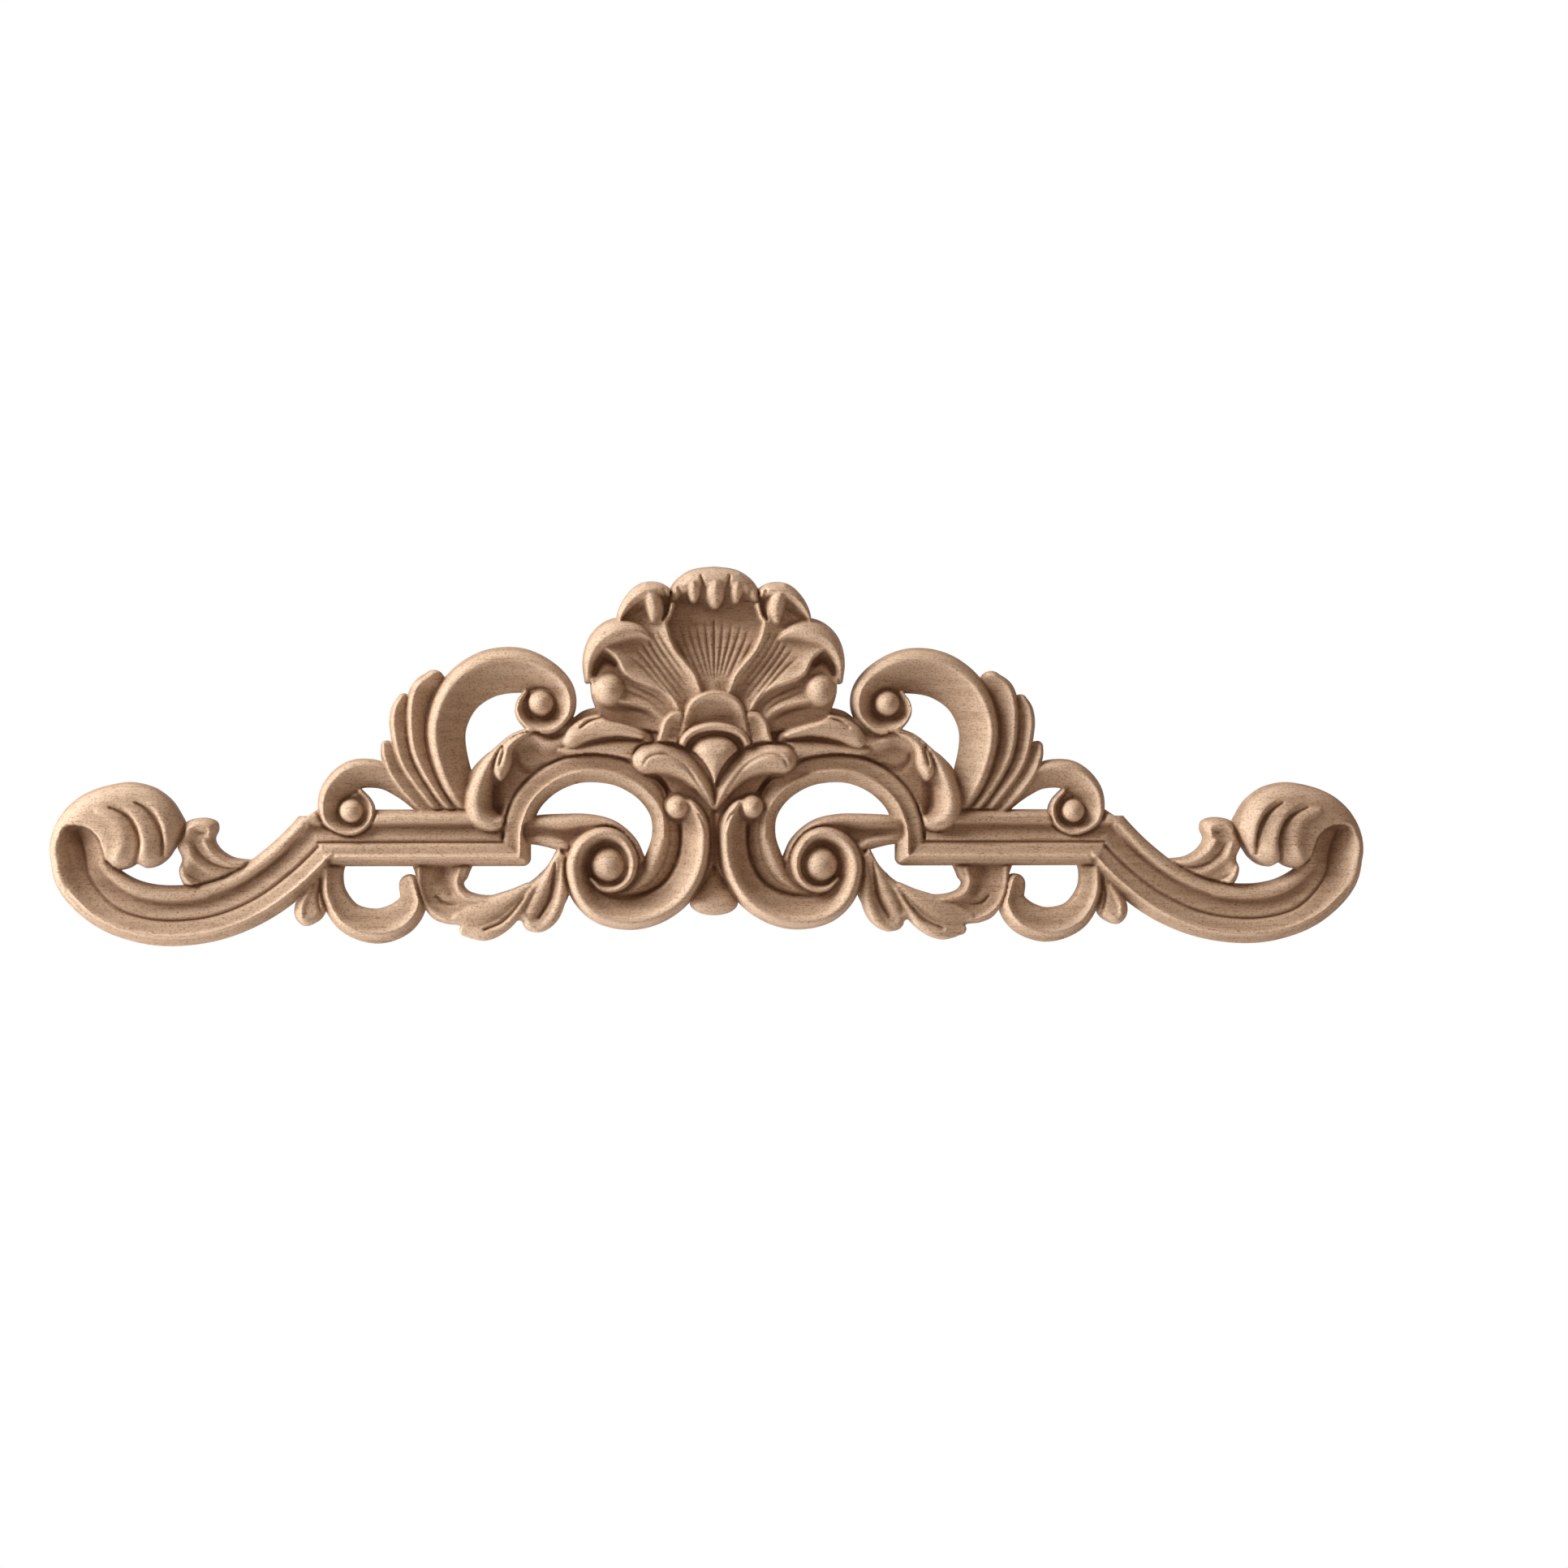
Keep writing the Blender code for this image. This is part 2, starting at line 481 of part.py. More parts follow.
def end_scroll(relief):
    """The bar's moulding sweeps down and round and rises under the rolled head with its fingers."""
    head = [(70, 1084), (62, 1066), (59, 1048), (61, 1030), (68, 1012), (80, 995), (98, 980), (120, 970),
            (145, 964), (165, 963), (190, 970), (210, 985), (222, 1003), (228, 1018), (222, 1034),
            (213, 1047), (206, 1057), (194, 1066), (180, 1069), (168, 1064), (160, 1068), (150, 1071),
            (136, 1071), (126, 1064), (100, 1060), (80, 1078)]
    mitre = (390, 1035, -64, -30, .3)
    tip = (380, 1005, 0, -1, 0)
    first_finger = [(122, 998, 10), (144, 1008, 30), (153, 1032, 32), (146, 1058, 18)]
    second_finger = [(140, 986, 4), (164, 994, 20), (181, 1014, 28), (187, 1038, 30), (183, 1056, 26),
                     (176, 1068, 14)]
    third_finger = [(170, 980, 4), (194, 990, 18), (209, 1012, 24), (214, 1034, 24), (210, 1050, 12)]
    first_line = [(130, 992, 2), (151, 1001, 5), (166, 1018, 7), (172, 1040, 8), (167, 1064, 7)]
    second_line = [(160, 986, 2), (182, 998, 5), (196, 1018, 7), (201, 1038, 7), (199, 1056, 5)]
    leaf_joint = [(230, 1010, 3), (225, 1028, 8), (214, 1048, 6)]
    relief.pad(head, (70, 1040, 10.5), (135, 1010, 13), rim=7)
    relief.stroke(END_BAND, MOULDING, over=.15, late=MOULDING_END, late_at=(.62, .97), seam=(.418, .64),
                  clip=[mitre, tip])
    relief.swell(first_finger, 1)
    relief.swell(second_finger, 2, SCALE, flip=True)
    relief.swell(third_finger, 2, SCALE, flip=True)
    relief.groove(first_line, 2.4)
    relief.groove(second_line, 2.4)
    relief.groove(leaf_joint, 3)


def small_scroll(relief):
    """The small C that stands on the bar and curls over it."""
    hollow = [(432, 955), (415, 975), (405, 1000), (420, 1018), (440, 1018), (454, 1002), (452, 986),
              (443, 972)]
    band = [(514, 993, 12, 4.5), (494, 972, 22, 6), (470, 955, 33, 7.5), (436, 954, 37, 9),
            (411, 975, 34, 9), (405, 1003, 26, 9), (416, 1018, 16, 9), (433, 1023, 13, 9),
            (449, 1015, 12, 9), (456, 1000, 11, 9), (453, 987, 9, 8.8), (443, 975, 7, 8.5)]
    relief.pad(hollow, (430, 1000, 5))
    relief.stroke(band, PLANED, flip=True, moat=(.8, 1.5))
    relief.dome(432, 999, 15.5, 10.5, moat=(.8, 1.5))


def arch_stems(relief):
    """Two stems that leave the arch and wrap the volute."""
    web = [(648, 1012), (690, 1010), (735, 1012), (750, 1020), (700, 1052), (685, 1044), (648, 1036)]
    lower = [(640, 1034, 12, 5), (662, 1034, 14, 6.5), (690, 1040, 16, 7.5), (706, 1050, 10, 7)]
    upper = [(640, 1016, 14, 5), (664, 1013, 18, 7), (692, 1013, 21, 8.5), (722, 1011, 17, 9),
             (748, 1014, 13, 9), (768, 1023, 11, 8.5), (783, 1038, 9, 8), (792, 1056, 6, 7)]
    relief.pad(web, (690, 1030, 5))
    relief.stroke(lower, ROUND, over=False)
    relief.stroke(upper, ROUND, over=False)


def shell(relief):
    """The scallop: a dished fan between its ridges, with a curl and a ball at each side."""
    outline = [(742, 884), (730, 862), (727, 840), (727, 822), (733, 800), (755, 775), (780, 758), (805, 742),
               (830, 732), (850, 726), (880, 722), (905, 722), (905, 905), (840, 905), (800, 900), (765, 892)]
    middle = [(880, 735, 6, 6), (880, 770, 6.3, 6.3), (880, 810, 8, 8), (880, 852, 10, 10)]
    first = [(812, 735, 8, 12), (819, 767, 8.2, 12.4), (823, 784, 8.5, 12.4), (831, 802, 8.6, 12.2),
             (844, 818, 9, 12), (854, 831, 9.4, 11.8), (860, 847, 9.8, 11.6), (866, 866, 10, 11.2)]
    second = [(745, 798, 11.8, 8), (761, 812, 12, 8), (769, 828, 12, 8), (780, 836, 12, 8.2),
              (796, 842, 11.8, 8.4), (812, 848, 11.6, 8.8), (825, 858, 11.2, 9), (834, 871, 11, 9.5),
              (842, 888, 10.5, 9.5)]
    third = [(740, 858, 10.5, 8), (764, 863, 10.5, 8), (780, 866, 10.4, 8), (796, 871, 10.2, 8.2),
             (809, 879, 10, 8.5), (822, 892, 9.8, 9)]
    curl_hollow = [(732, 830, 10), (738, 816, 20), (748, 811, 20), (757, 817, 10)]
    curl = [(724, 838, 8, 9), (725, 818, 15, 11.5), (732, 800, 24, 13.5), (744, 787, 33, 14.5),
            (760, 779, 37, 15), (777, 777, 30, 14.5), (790, 780, 20, 13.5), (799, 786, 10, 12)]
    relief.fan(outline, [middle, first, second, third], [0.4, 2.6, 0.8, 0.5], 1.4)
    relief.swell(curl_hollow, -3)
    relief.stroke(curl, ROUND, over=False)
    relief.dome(750, 850, 22, 13.5, 23)


def shoulder(relief):
    """The hooded curl at each shoulder of the shell."""
    backing = [(763, 768), (768, 752), (782, 738), (800, 730), (822, 732), (828, 745), (824, 764), (812, 772),
               (780, 772)]
    hood = [(761, 770, 5, 11), (767, 754, 12, 13.5), (778, 740, 19, 14.8), (793, 730, 25, 15.5),
            (809, 727, 21, 15.3), (822, 731, 14, 14.5), (830, 740, 8, 13.5)]
    lobe = [(792, 728, 20, 15), (799, 740, 22, 15.6), (802, 753, 19, 15), (802, 763, 12, 13.5)]
    strip = [(827, 728, 8, 14), (827, 743, 9, 13.8), (823, 758, 9, 13), (819, 767, 7, 12.4)]
    slit = [(813, 727, 2), (817, 740, 6), (817, 753, 6), (813, 765, 3)]
    relief.pad(backing, (780, 750, 9), rim=4, edge=8.5, over=False)
    relief.stroke(strip, ROUND, edge=5, over=False)
    relief.stroke(hood, ROUND, edge=5.5, over=False)
    relief.stroke(lobe, ROUND, edge=9, over=False)
    relief.groove(slit, 4)


def top_fold(relief):
    """The shell's top edge folded forwards, with a drop in the middle and one at each side."""
    fold = [(829, 737, 12, 10), (838, 725, 22, 13.5), (856, 716, 30, 15), (880, 714, 33, 15.4),
            (900, 714, 33, 15.4)]
    side_drop = [(852, 712, 14, 14), (853, 722, 20, 15.4), (854, 730, 19, 14.8), (854, 737, 12, 13.5)]
    middle_drop = [(880, 712, 22, 14.4), (880, 721, 29, 16), (880, 732, 27, 15.6), (880, 741, 18, 14)]
    side_slit = [(862, 710, 2), (865, 722, 6), (865, 737, 6)]
    corner_hole = [(834, 722, 3), (837, 729, 8), (840, 738, 5)]
    relief.stroke(fold, ROUND, edge=5)
    relief.stroke(side_drop, ROUND, edge=8, over=False)
    relief.stroke(middle_drop, ROUND, edge=8, over=False)
    relief.groove(side_slit, 4)
    relief.groove(corner_hole, 4)


def calyx(relief):
    """The petals at the shell's root, the collar and the drop under it."""
    side_petal = [(812, 920), (812, 900), (816, 887), (825, 878), (836, 876), (848, 881), (866, 892),
                  (866, 920)]
    middle_petal = [(838, 896), (842, 877), (849, 863), (862, 854), (880, 850), (898, 854), (911, 863),
                    (918, 877), (922, 896), (918, 915), (842, 915)]
    under_collar = [(834, 928), (840, 905), (856, 893), (880, 888), (904, 893), (920, 905), (926, 928),
                    (900, 985), (880, 1000), (860, 985)]
    collar = [(838, 930, 9, 11), (842, 912, 12, 13.5), (856, 900, 13, 14.2), (880, 895, 13, 14.4),
              (904, 900, 13, 14.2)]
    drop = [(880, 905), (863, 908), (852, 919), (851, 932), (857, 947), (868, 963), (880, 984), (892, 963),
            (903, 947), (909, 932), (908, 919), (897, 908)]
    middle_gap = [(880, 986, 4), (880, 1000, 8), (880, 1050, 8), (880, 1078, 4)]
    relief.pad(side_petal, (822, 882, 12), (846, 905, 10.5), rim=1.1, dish=1.6, fall=4, edge=7.5)
    relief.pad(middle_petal, (880, 855, 13.5), (880, 890, 10.5), rim=1.2, dish=1.8, fall=4, edge=7.5)
    relief.pad(under_collar, (880, 950, 6.5), edge=6)
    relief.stroke(collar, ROUND, edge=7)
    relief.pad(drop, (880, 925, 15.5), (880, 980, 12), rim=8, edge=7)
    relief.groove(middle_gap, 3)


def root_curl(relief):
    """The curl that springs from below the drop and rolls over the arch."""
    curl = [(879, 994, 8, 9), (866, 966, 26, 11.5), (849, 946, 36, 12.5), (829, 936, 40, 13.5),
            (811, 934, 41, 14), (798, 935, 40, 14)]
    crease = [(791, 944, 2), (797, 934, 4), (813, 929, 5), (830, 935, 5), (846, 947, 5), (862, 970, 4),
              (873, 989, 2)]
    gap = [(795, 955, 3), (808, 956, 7), (819, 966, 8), (825, 980, 5)]
    gap_line = [(806, 962, 2), (815, 972, 3), (819, 986, 2)]
    relief.stroke(curl, CURL, edge=6, late=ROUND, late_at=(.5, .85))
    relief.groove(crease, 1.2)
    relief.groove(gap, 4)
    relief.groove(gap_line, 1.2)


def lower_scroll(relief):
    """The large C below the collar, from its ball round into the volute and its eye."""
    hollow = [(749, 1030), (715, 1050), (715, 1085), (735, 1110), (775, 1108), (790, 1090), (794, 1070),
              (775, 1038)]
    band = [(836, 984, 14, 11), (849, 998, 30, 12), (857, 1018, 36, 12.5), (857, 1045, 38, 12.5),
            (851, 1072, 39, 12.5), (834, 1100, 40, 12.5), (806, 1119, 41, 12.5), (775, 1126, 40, 12.5),
            (742, 1120, 37, 12.5), (720, 1100, 33, 12.5), (711, 1070, 30, 12.5), (716, 1046, 28, 12.5),
            (731, 1032, 25, 12.5), (750, 1029, 22, 12.5), (770, 1037, 21, 12), (783, 1058, 20, 12),
            (779, 1081, 17, 11.5), (762, 1095, 13, 11), (742, 1094, 11, 10.5), (729, 1083, 8, 10)]
    ball_crease = [(854, 998, 2), (862, 1006, 4), (869, 1024, 2)]
    relief.pad(hollow, (749, 1064, 6), over=False)
    relief.stroke(band, LOWER_SCROLL)
    relief.dome(749, 1065, 23, 12.5, moat=(.7, 1.8))
    relief.dome(834, 994, 15.5, 14, moat=(.6, 1.5))
    relief.groove(ball_crease, 2)


def carve(step):
    """The whole drawing cut as a height field, back to front."""
    relief = Relief(step)
    for layer in (webs, hanging_bud, hanging_scroll, acanthus, feather_ribs, upper_scroll, bar, leaf_cluster,
                  arch, side_leaf, end_scroll, small_scroll, arch_stems, shell, shoulder, top_fold, calyx,
                  root_curl, lower_scroll):
        layer(relief)
    return relief


def kept_cells(relief):
    """Grid cells inside the outline, with cells that only touch by a corner joined up."""
    inside = relief.inside
    middle = (inside[:-1, :-1] + inside[1:, :-1] + inside[:-1, 1:] + inside[1:, 1:]) / 4
    cells = middle > 0
    while True:
        a, b, c, d = cells[:-1, :-1], cells[1:, :-1], cells[:-1, 1:], cells[1:, 1:]
        crossed = (a & d & ~b & ~c) | (b & c & ~a & ~d)
        if not crossed.any():
            return cells
        lines, columns = np.nonzero(crossed)
        for line, column in zip(lines, columns):
            cells[line:line + 2, column:column + 2] = True


def carved_sheet(relief):
    """The carved front of the left half as an open sheet that ends on the outline."""
    columns = len(relief.xs) - 1
    lines = len(relief.zs) - 1
    cells = kept_cells(relief)
    slope_z, slope_x = np.gradient(relief.inside, relief.zs, relief.xs)
    sheet = bmesh.new()
    bmesh.ops.create_grid(sheet, x_segments=columns, y_segments=lines, size=0.5)
    place = {}
    for vert in sheet.verts:
        place[vert] = (round((vert.co.y + 0.5) * lines), round((vert.co.x + 0.5) * columns))
    dropped = []
    for face in sheet.faces:
        line = min(place[vert][0] for vert in face.verts)
        column = min(place[vert][1] for vert in face.verts)
        if not cells[line, column]:
            dropped.append(face)
    bmesh.ops.delete(sheet, geom=dropped, context="FACES")
    for vert in sheet.verts:
        at = place[vert]
        x, z, height = relief.xs[at[1]], relief.zs[at[0]], relief.height[at]
        on_plane = at[1] == columns
        if vert.is_boundary and not (on_plane and len(vert.link_faces) == 2):
            steep = max(slope_x[at] ** 2 + slope_z[at] ** 2, 0.25)
            run = np.clip(relief.inside[at] / steep, -GRID_STEP, GRID_STEP)
            x -= 0 if on_plane else run * slope_x[at]
            z -= run * slope_z[at]
            x = min(x, 0)
            height = EDGE
        vert.co = (x * MM, -max(height, FLOOR) * MM, z * MM)
    bmesh.ops.triangulate(sheet, faces=sheet.faces)
    mesh = bpy.data.meshes.new("half_front")
    sheet.to_mesh(mesh)
    sheet.free()
    return mesh


def reduced(mesh):
    """The same sheet with the triangles that its flat and gentle stretches don't need taken out."""
    half = bpy.data.objects.new("half_front", mesh)
    bpy.context.scene.collection.objects.link(half)
    decimate = half.modifiers.new("Decimate", "DECIMATE")
    decimate.ratio = KEPT_SHARE
    seen = half.evaluated_get(bpy.context.evaluated_depsgraph_get())
    lighter = bpy.data.meshes.new_from_object(seen)
    bpy.data.objects.remove(half)
    return lighter


def closed_body(half_front, name):
    """Both halves of the front, walls down to the back plane and the flat back."""
    body = bmesh.new()
    body.from_mesh(half_front)
    for vert in body.verts:
        if vert.is_boundary and vert.co.x > -PLANE_REACH * MM:
            vert.co.x = 0
    bmesh.ops.mirror(body, geom=body.verts[:] + body.edges[:] + body.faces[:], axis="X", merge_dist=1e-6)
    bmesh.ops.recalc_face_normals(body, faces=body.faces)
    rim = [edge for edge in body.edges if edge.is_boundary]
    walls = bmesh.ops.extrude_edge_only(body, edges=rim)["geom"]
    for part in walls:
        if isinstance(part, bmesh.types.BMVert):
            part.co.y = 0
    foot = [part for part in walls if isinstance(part, bmesh.types.BMEdge) and part.is_boundary]
    bmesh.ops.triangle_fill(body, use_beauty=True, use_dissolve=False, edges=foot)
    bmesh.ops.triangulate(body, faces=body.faces)
    bmesh.ops.recalc_face_normals(body, faces=body.faces)
    mesh = bpy.data.meshes.new(name)
    body.to_mesh(mesh)
    body.free()
    return mesh


def wood():
    material = bpy.data.materials.new("raw_wood")
    material.use_nodes = True
    shader = material.node_tree.nodes["Principled BSDF"]
    shader.inputs["Base Color"].default_value = WOOD_COLOUR
    shader.inputs["Roughness"].default_value = WOOD_ROUGHNESS
    shader.inputs["Metallic"].default_value = 0.0
    return material


def build():
    for old in list(bpy.data.objects):
        bpy.data.objects.remove(old)
    collection = bpy.data.collections.new(COLLECTION)
    bpy.context.scene.collection.children.link(collection)
    half_front = reduced(carved_sheet(carve(GRID_STEP)))
    onlay = bpy.data.objects.new(NAME, closed_body(half_front, NAME))
    onlay.data.shade_smooth()
    onlay.data.set_sharp_from_angle(angle=math.radians(40))
    onlay.data.materials.append(wood())
    collection.objects.link(onlay)


build()
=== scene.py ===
"""Looks for the carved wooden pediment onlay: the fine carving, its raw wood, soft light and camera.

The carving is drawn in millimetres on the back plane, X along it and Z up, as heights towards -Y, and
its mesh is made in metres in the frame of the CAD solid that it stands for.
"""
import math

import bmesh
import bpy
import numpy as np
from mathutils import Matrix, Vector


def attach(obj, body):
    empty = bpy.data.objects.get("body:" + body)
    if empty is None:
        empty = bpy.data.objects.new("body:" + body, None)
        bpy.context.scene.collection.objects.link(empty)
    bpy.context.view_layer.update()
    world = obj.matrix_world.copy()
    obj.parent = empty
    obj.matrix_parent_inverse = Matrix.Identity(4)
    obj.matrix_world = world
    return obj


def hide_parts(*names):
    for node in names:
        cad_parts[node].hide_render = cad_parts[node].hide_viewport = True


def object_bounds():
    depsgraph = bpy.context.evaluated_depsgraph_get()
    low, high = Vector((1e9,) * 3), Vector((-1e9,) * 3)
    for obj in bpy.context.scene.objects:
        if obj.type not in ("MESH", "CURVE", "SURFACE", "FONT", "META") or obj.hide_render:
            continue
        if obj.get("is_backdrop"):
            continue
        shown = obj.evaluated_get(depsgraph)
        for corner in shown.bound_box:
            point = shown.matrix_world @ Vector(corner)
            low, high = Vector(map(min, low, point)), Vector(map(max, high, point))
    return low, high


NODE = "carved_onlay"
MM = 0.001

# Driving dimensions, in millimetres, as in the solid.
LENGTH = 450.0
# The wood's thickness at its outline, and the least that a cut leaves.
EDGE = 4.0
FLOOR = 1.5
# The fine front: grid step, share of its triangles that is kept, and how far sanding rounds the cuts.
GRID_STEP = 0.32
KEPT_SHARE = 0.33
SANDING = 0.30
# A narrow crease goes no deeper than this below the wood within the reach, as a knife leaves it.
CREASE_REACH, CREASE_DEEPEST = 1.6, 1.5
# How near the centre line an end of the outline is taken onto it.
PLANE_REACH = 0.12
# How near each other the halves' points are made one, and the least squared slope of the outline.
MERGE_REACH, SLOPE_LEAST = 0.001, 0.25
# Edges that bend by more degrees are shaded as sharp.
SHARP_ANGLE = 60

# The picture's side in pixels, the camera's distance in metres, how far before the back plane it looks
# and its sensor, in millimetres.
PICTURE_SIZE = 1932
CAMERA_DISTANCE = 1.3
FOCUS_HEIGHT = 6.0
SENSOR_WIDTH = 36.0

# The wood's colours, linear.
WOOD_LIGHT = (0.555, 0.412, 0.296, 1)
WOOD_MID = (0.455, 0.325, 0.223, 1)
STREAK = (0.74, 0.62, 0.52, 1)
SPECKLE = (0.62, 0.50, 0.40, 1)
PORE = (0.50, 0.36, 0.27, 1)
ROUGHNESS = 0.62
# Its noises: squeeze along X, Y and Z, scale, detail, the values that show none and all, strength.
GRAIN_NOISE = ((1, 4, 14), 30, 4, 0.3, 0.7, 1)
STREAK_NOISE = ((1, 8, 40), 60, 3, 0.57, 0.68, 0.7)
SPECKLE_NOISE = ((1, 1.2, 1.2), 1300, 2, 0.46, 0.68, 0.65)
PORE_NOISE = ((1, 2, 2.6), 650, 1, 0.64, 0.74, 0.75)
# Their bumps: strength, and height in metres.
STREAK_BUMP = (0.3, 0.0004)
SPECKLE_BUMP = (0.25, 0.0003)
# Painted highlight on crests, over the wood around them: reach in millimetres, gain, colour and its
# strength.
HIGHLIGHT_REACH, HIGHLIGHT_GAIN = 2.2, 1.0
PAINTED_HIGHLIGHT, PAINTED_HIGHLIGHT_SHARE = (0.84, 0.68, 0.53, 1), 0.45
# Painted shade in cuts, below the wood around them: the field's name, its reach in millimetres, gain and
# tint.
PAINTED_SHADES = (
    ("painted_shade_broad", 6.0, 0.24, (0.50, 0.37, 0.28, 1)),
    ("painted_shade_wide", 2.5, 0.18, (0.50, 0.35, 0.26, 1)),
    ("painted_shade_narrow", 0.8, 0.6, (0.48, 0.34, 0.25, 1)),
)

# Studio, in metres.
FLOOR_Z = -1.0
FLOOR_SIZE = 3
FLOOR_COLOUR = (0.9, 0.9, 0.9, 1)
FLOOR_ROUGHNESS = 0.8
LIT_POINT = (0, 0, 0.02)
# The lights: name, place, size, power in watts and colour.
LIGHTS = (
    ("key", (-1.15, -0.45, 0.95), 0.9, 31, (1.0, 0.98, 0.95)),
    ("fill", (-1.15, -0.2, -0.8), 1.0, 20, (1.0, 0.97, 0.94)),
)
# The world before the onlay and behind it, and where along Y they meet.
FRONT_AMBIENT = (0.31, 0.22, 0.168, 1)
BEHIND = (1, 1, 1, 1)
BEHIND_FROM, BEHIND_FULL = 0.7, 0.95

# Lines finer than the solid holds: the dark one round the arch and the bright beads of the mouldings,
# as shares of the band's width from its middle to its left. Widths in pixels, depths in millimetres.
ARCH_LINE, ARCH_LINE_PX, ARCH_LINE_DEPTH = 0.47, 5, 1.8
ARCH_BEAD, BEAD, BEAD_FOOT = -0.11, 0.33, 0.395
BEAD_PX, BEAD_RISE, BEAD_CUT = 5, 0.9, 0.8
ARCH_ROWS, BEAD_ROWS = slice(1, 11), slice(1, 9)

# The veins of the shell's panels, from the rim inwards, in pixels, and their depth in millimetres.
VEIN_DEPTH = 1.3
SHELL_VEINS = [
    [(880, 764, 1), (880, 786, 4), (880, 814, 4), (880, 838, 1)],
    [(869, 766, 1), (871, 790, 4), (874, 814, 4), (877, 836, 1)],
    [(858, 768, 1), (862, 790, 4), (868, 813, 4), (873, 834, 1)],
    [(847, 770, 1), (853, 790, 4), (861, 812, 4), (868, 832, 1)],
    [(838, 776, 1), (845, 795, 4), (854, 815, 4), (863, 836, 1)],
    [(832, 788, 1), (838, 800, 3), (846, 815, 3), (855, 829, 1)],
    [(810, 778, 1), (819, 795, 4), (832, 814, 4), (847, 834, 1)],
    [(803, 780, 1), (813, 799, 4), (828, 820, 4), (845, 843, 1)],
    [(796, 784, 1), (807, 804, 4), (823, 826, 4), (843, 851, 1)],
    [(790, 792, 1), (801, 809, 4), (818, 832, 4), (840, 860, 1)],
    [(784, 801, 1), (796, 815, 4), (813, 837, 4), (838, 868, 1)],
    [(778, 811, 1), (791, 822, 4), (809, 841, 4), (832, 866, 1)],
    [(773, 843, 1), (788, 849, 3), (806, 858, 3), (822, 870, 1)],
    [(768, 850, 1), (784, 857, 4), (801, 865, 4), (817, 877, 1)],
    [(762, 870, 1), (778, 873, 4), (794, 878, 4), (808, 887, 1)],
]

# The drawing: control points chosen on the photograph, in its pixels, for the left half.
# The photograph is taken a little from the left, so its scale grows slowly to the left.
CENTRE_X = 880
GROUND_Y = 1040
LEFT_REACH_PX, RIGHT_REACH_PX = 820, 801
PX_GROWTH = 2 * (LEFT_REACH_PX - RIGHT_REACH_PX) / (LENGTH * (LEFT_REACH_PX + RIGHT_REACH_PX))
PX_PER_MM = 2 * RIGHT_REACH_PX / LENGTH + PX_GROWTH * RIGHT_REACH_PX
# The drawing's window, in pixels from the centre line and from the ground line.
LEFT_PX, TOP_PX, BOTTOM_PX = 830, 350, 135


def to_mm(px, py):
    """A point of the photograph in millimetres from the centre line and the ground line."""
    offset = px - CENTRE_X
    scale = PX_PER_MM - PX_GROWTH * offset
    return offset / scale, (GROUND_Y - py) / scale, 1 / scale


def rows_mm(rows):
    """Rows of x, y and width in millimetres, with any height as it is."""
    out = []
    for px, py, width, *height in rows:
        x, z, mm = to_mm(px, py)
        out.append((x, z, width * mm, *height))
    return out


def spline(rows, steps):
    """A Catmull-Rom curve through the rows, with every column carried along."""
    points = np.array(rows, float)
    points = np.vstack([2 * points[0] - points[1], points, 2 * points[-1] - points[-2]])
    t = np.linspace(0, 1, steps, endpoint=False)[:, None]
    out = []
    for a, b, c, d in zip(points[:-3], points[1:-2], points[2:-1], points[3:]):
        bend = 2 * a - 5 * b + 4 * c - d
        out.append(0.5 * (2 * b + (c - a) * t + bend * t**2 + (3 * b - a - 3 * c + d) * t**3))
    return np.vstack(out + [points[-2:-1]])


# A section's table: how far it runs past the band, its step, and the steps that softening takes.
SECTION_PAST, SECTION_STEP, SOFT_STEPS = 0.2, 0.001, 60


def section(*knots, soften=0.015):
    """A cross-section: the share of the height at each share of the width, with softened corners."""
    count = round((1 + 2 * SECTION_PAST) / SECTION_STEP) + 1
    fine = np.linspace(-SECTION_PAST, 1 + SECTION_PAST, count)
    share, level = np.array(knots, float).T
    table = np.interp(fine, share, level)
    reach = np.arange(-SOFT_STEPS, SOFT_STEPS + 1) * SECTION_STEP
    kernel = np.exp(-0.5 * (reach / soften) ** 2)
    table = np.convolve(np.pad(table, SOFT_STEPS, mode="edge"), kernel / kernel.sum(), mode="valid")
    return lambda s: np.interp(s, fine, table)


def ease(t):
    t = np.clip(t, 0, 1)
    return t * t * (3 - 2 * t)


# Cross-sections, from the left of the stroke's travel to its right.
MOULDING = section((0, 0), (.04, .35), (.1, .75), (.16, 1), (.185, 1), (.22, .9), (.38, .76), (.4, .66),
                   (.418, .15), (.436, .55), (.46, .62), (.52, .54), (.6, .4), (.7, .28), (.735, .3),
                   (.755, .72), (.8, .84), (.88, .84), (.95, .55), (1, .05), soften=0.006)
MOULDING_END = section((0, .1), (.04, .75), (.09, 1), (.13, .95), (.25, .4), (.36, .08), (.4, .02),
                       (.418, -.12), (.44, .15), (.6, .3), (.8, .52), (.92, .68), (.97, .66), (1, .4),
                       soften=0.006)
ARCH = section((0, 0), (.14, .6), (.34, .98), (.38, 1), (.41, .95), (.45, .72), (.6, .66), (.8, .7),
               (.93, .62), (.97, .35), (1, .05), soften=0.008)
ARCH_TAIL = section((0, 0), (.15, .7), (.3, 1), (.42, .95), (.6, .6), (.8, .3), (1, .05))
LOWER_SCROLL = section((0, 0), (.1, .6), (.2, .95), (.27, 1), (.36, .95), (.5, .68), (.65, .46), (.8, .34),
                       (.93, .3), (1, .1))
VOLUTE = section((0, 0), (.1, .55), (.22, .88), (.35, 1), (.5, .97), (.65, .75), (.8, .42), (.92, .3),
                 (1, .1))
PLANED = section((0, 0), (.08, .6), (.18, .93), (.25, 1), (.29, 1), (.34, .88), (1, .05), soften=0.01)
HANGING = section((0, 0), (.1, .4), (.2, .75), (.28, 1), (.32, .92), (.5, .62), (.75, .5), (.92, .4),
                  (1, .1), soften=0.01)
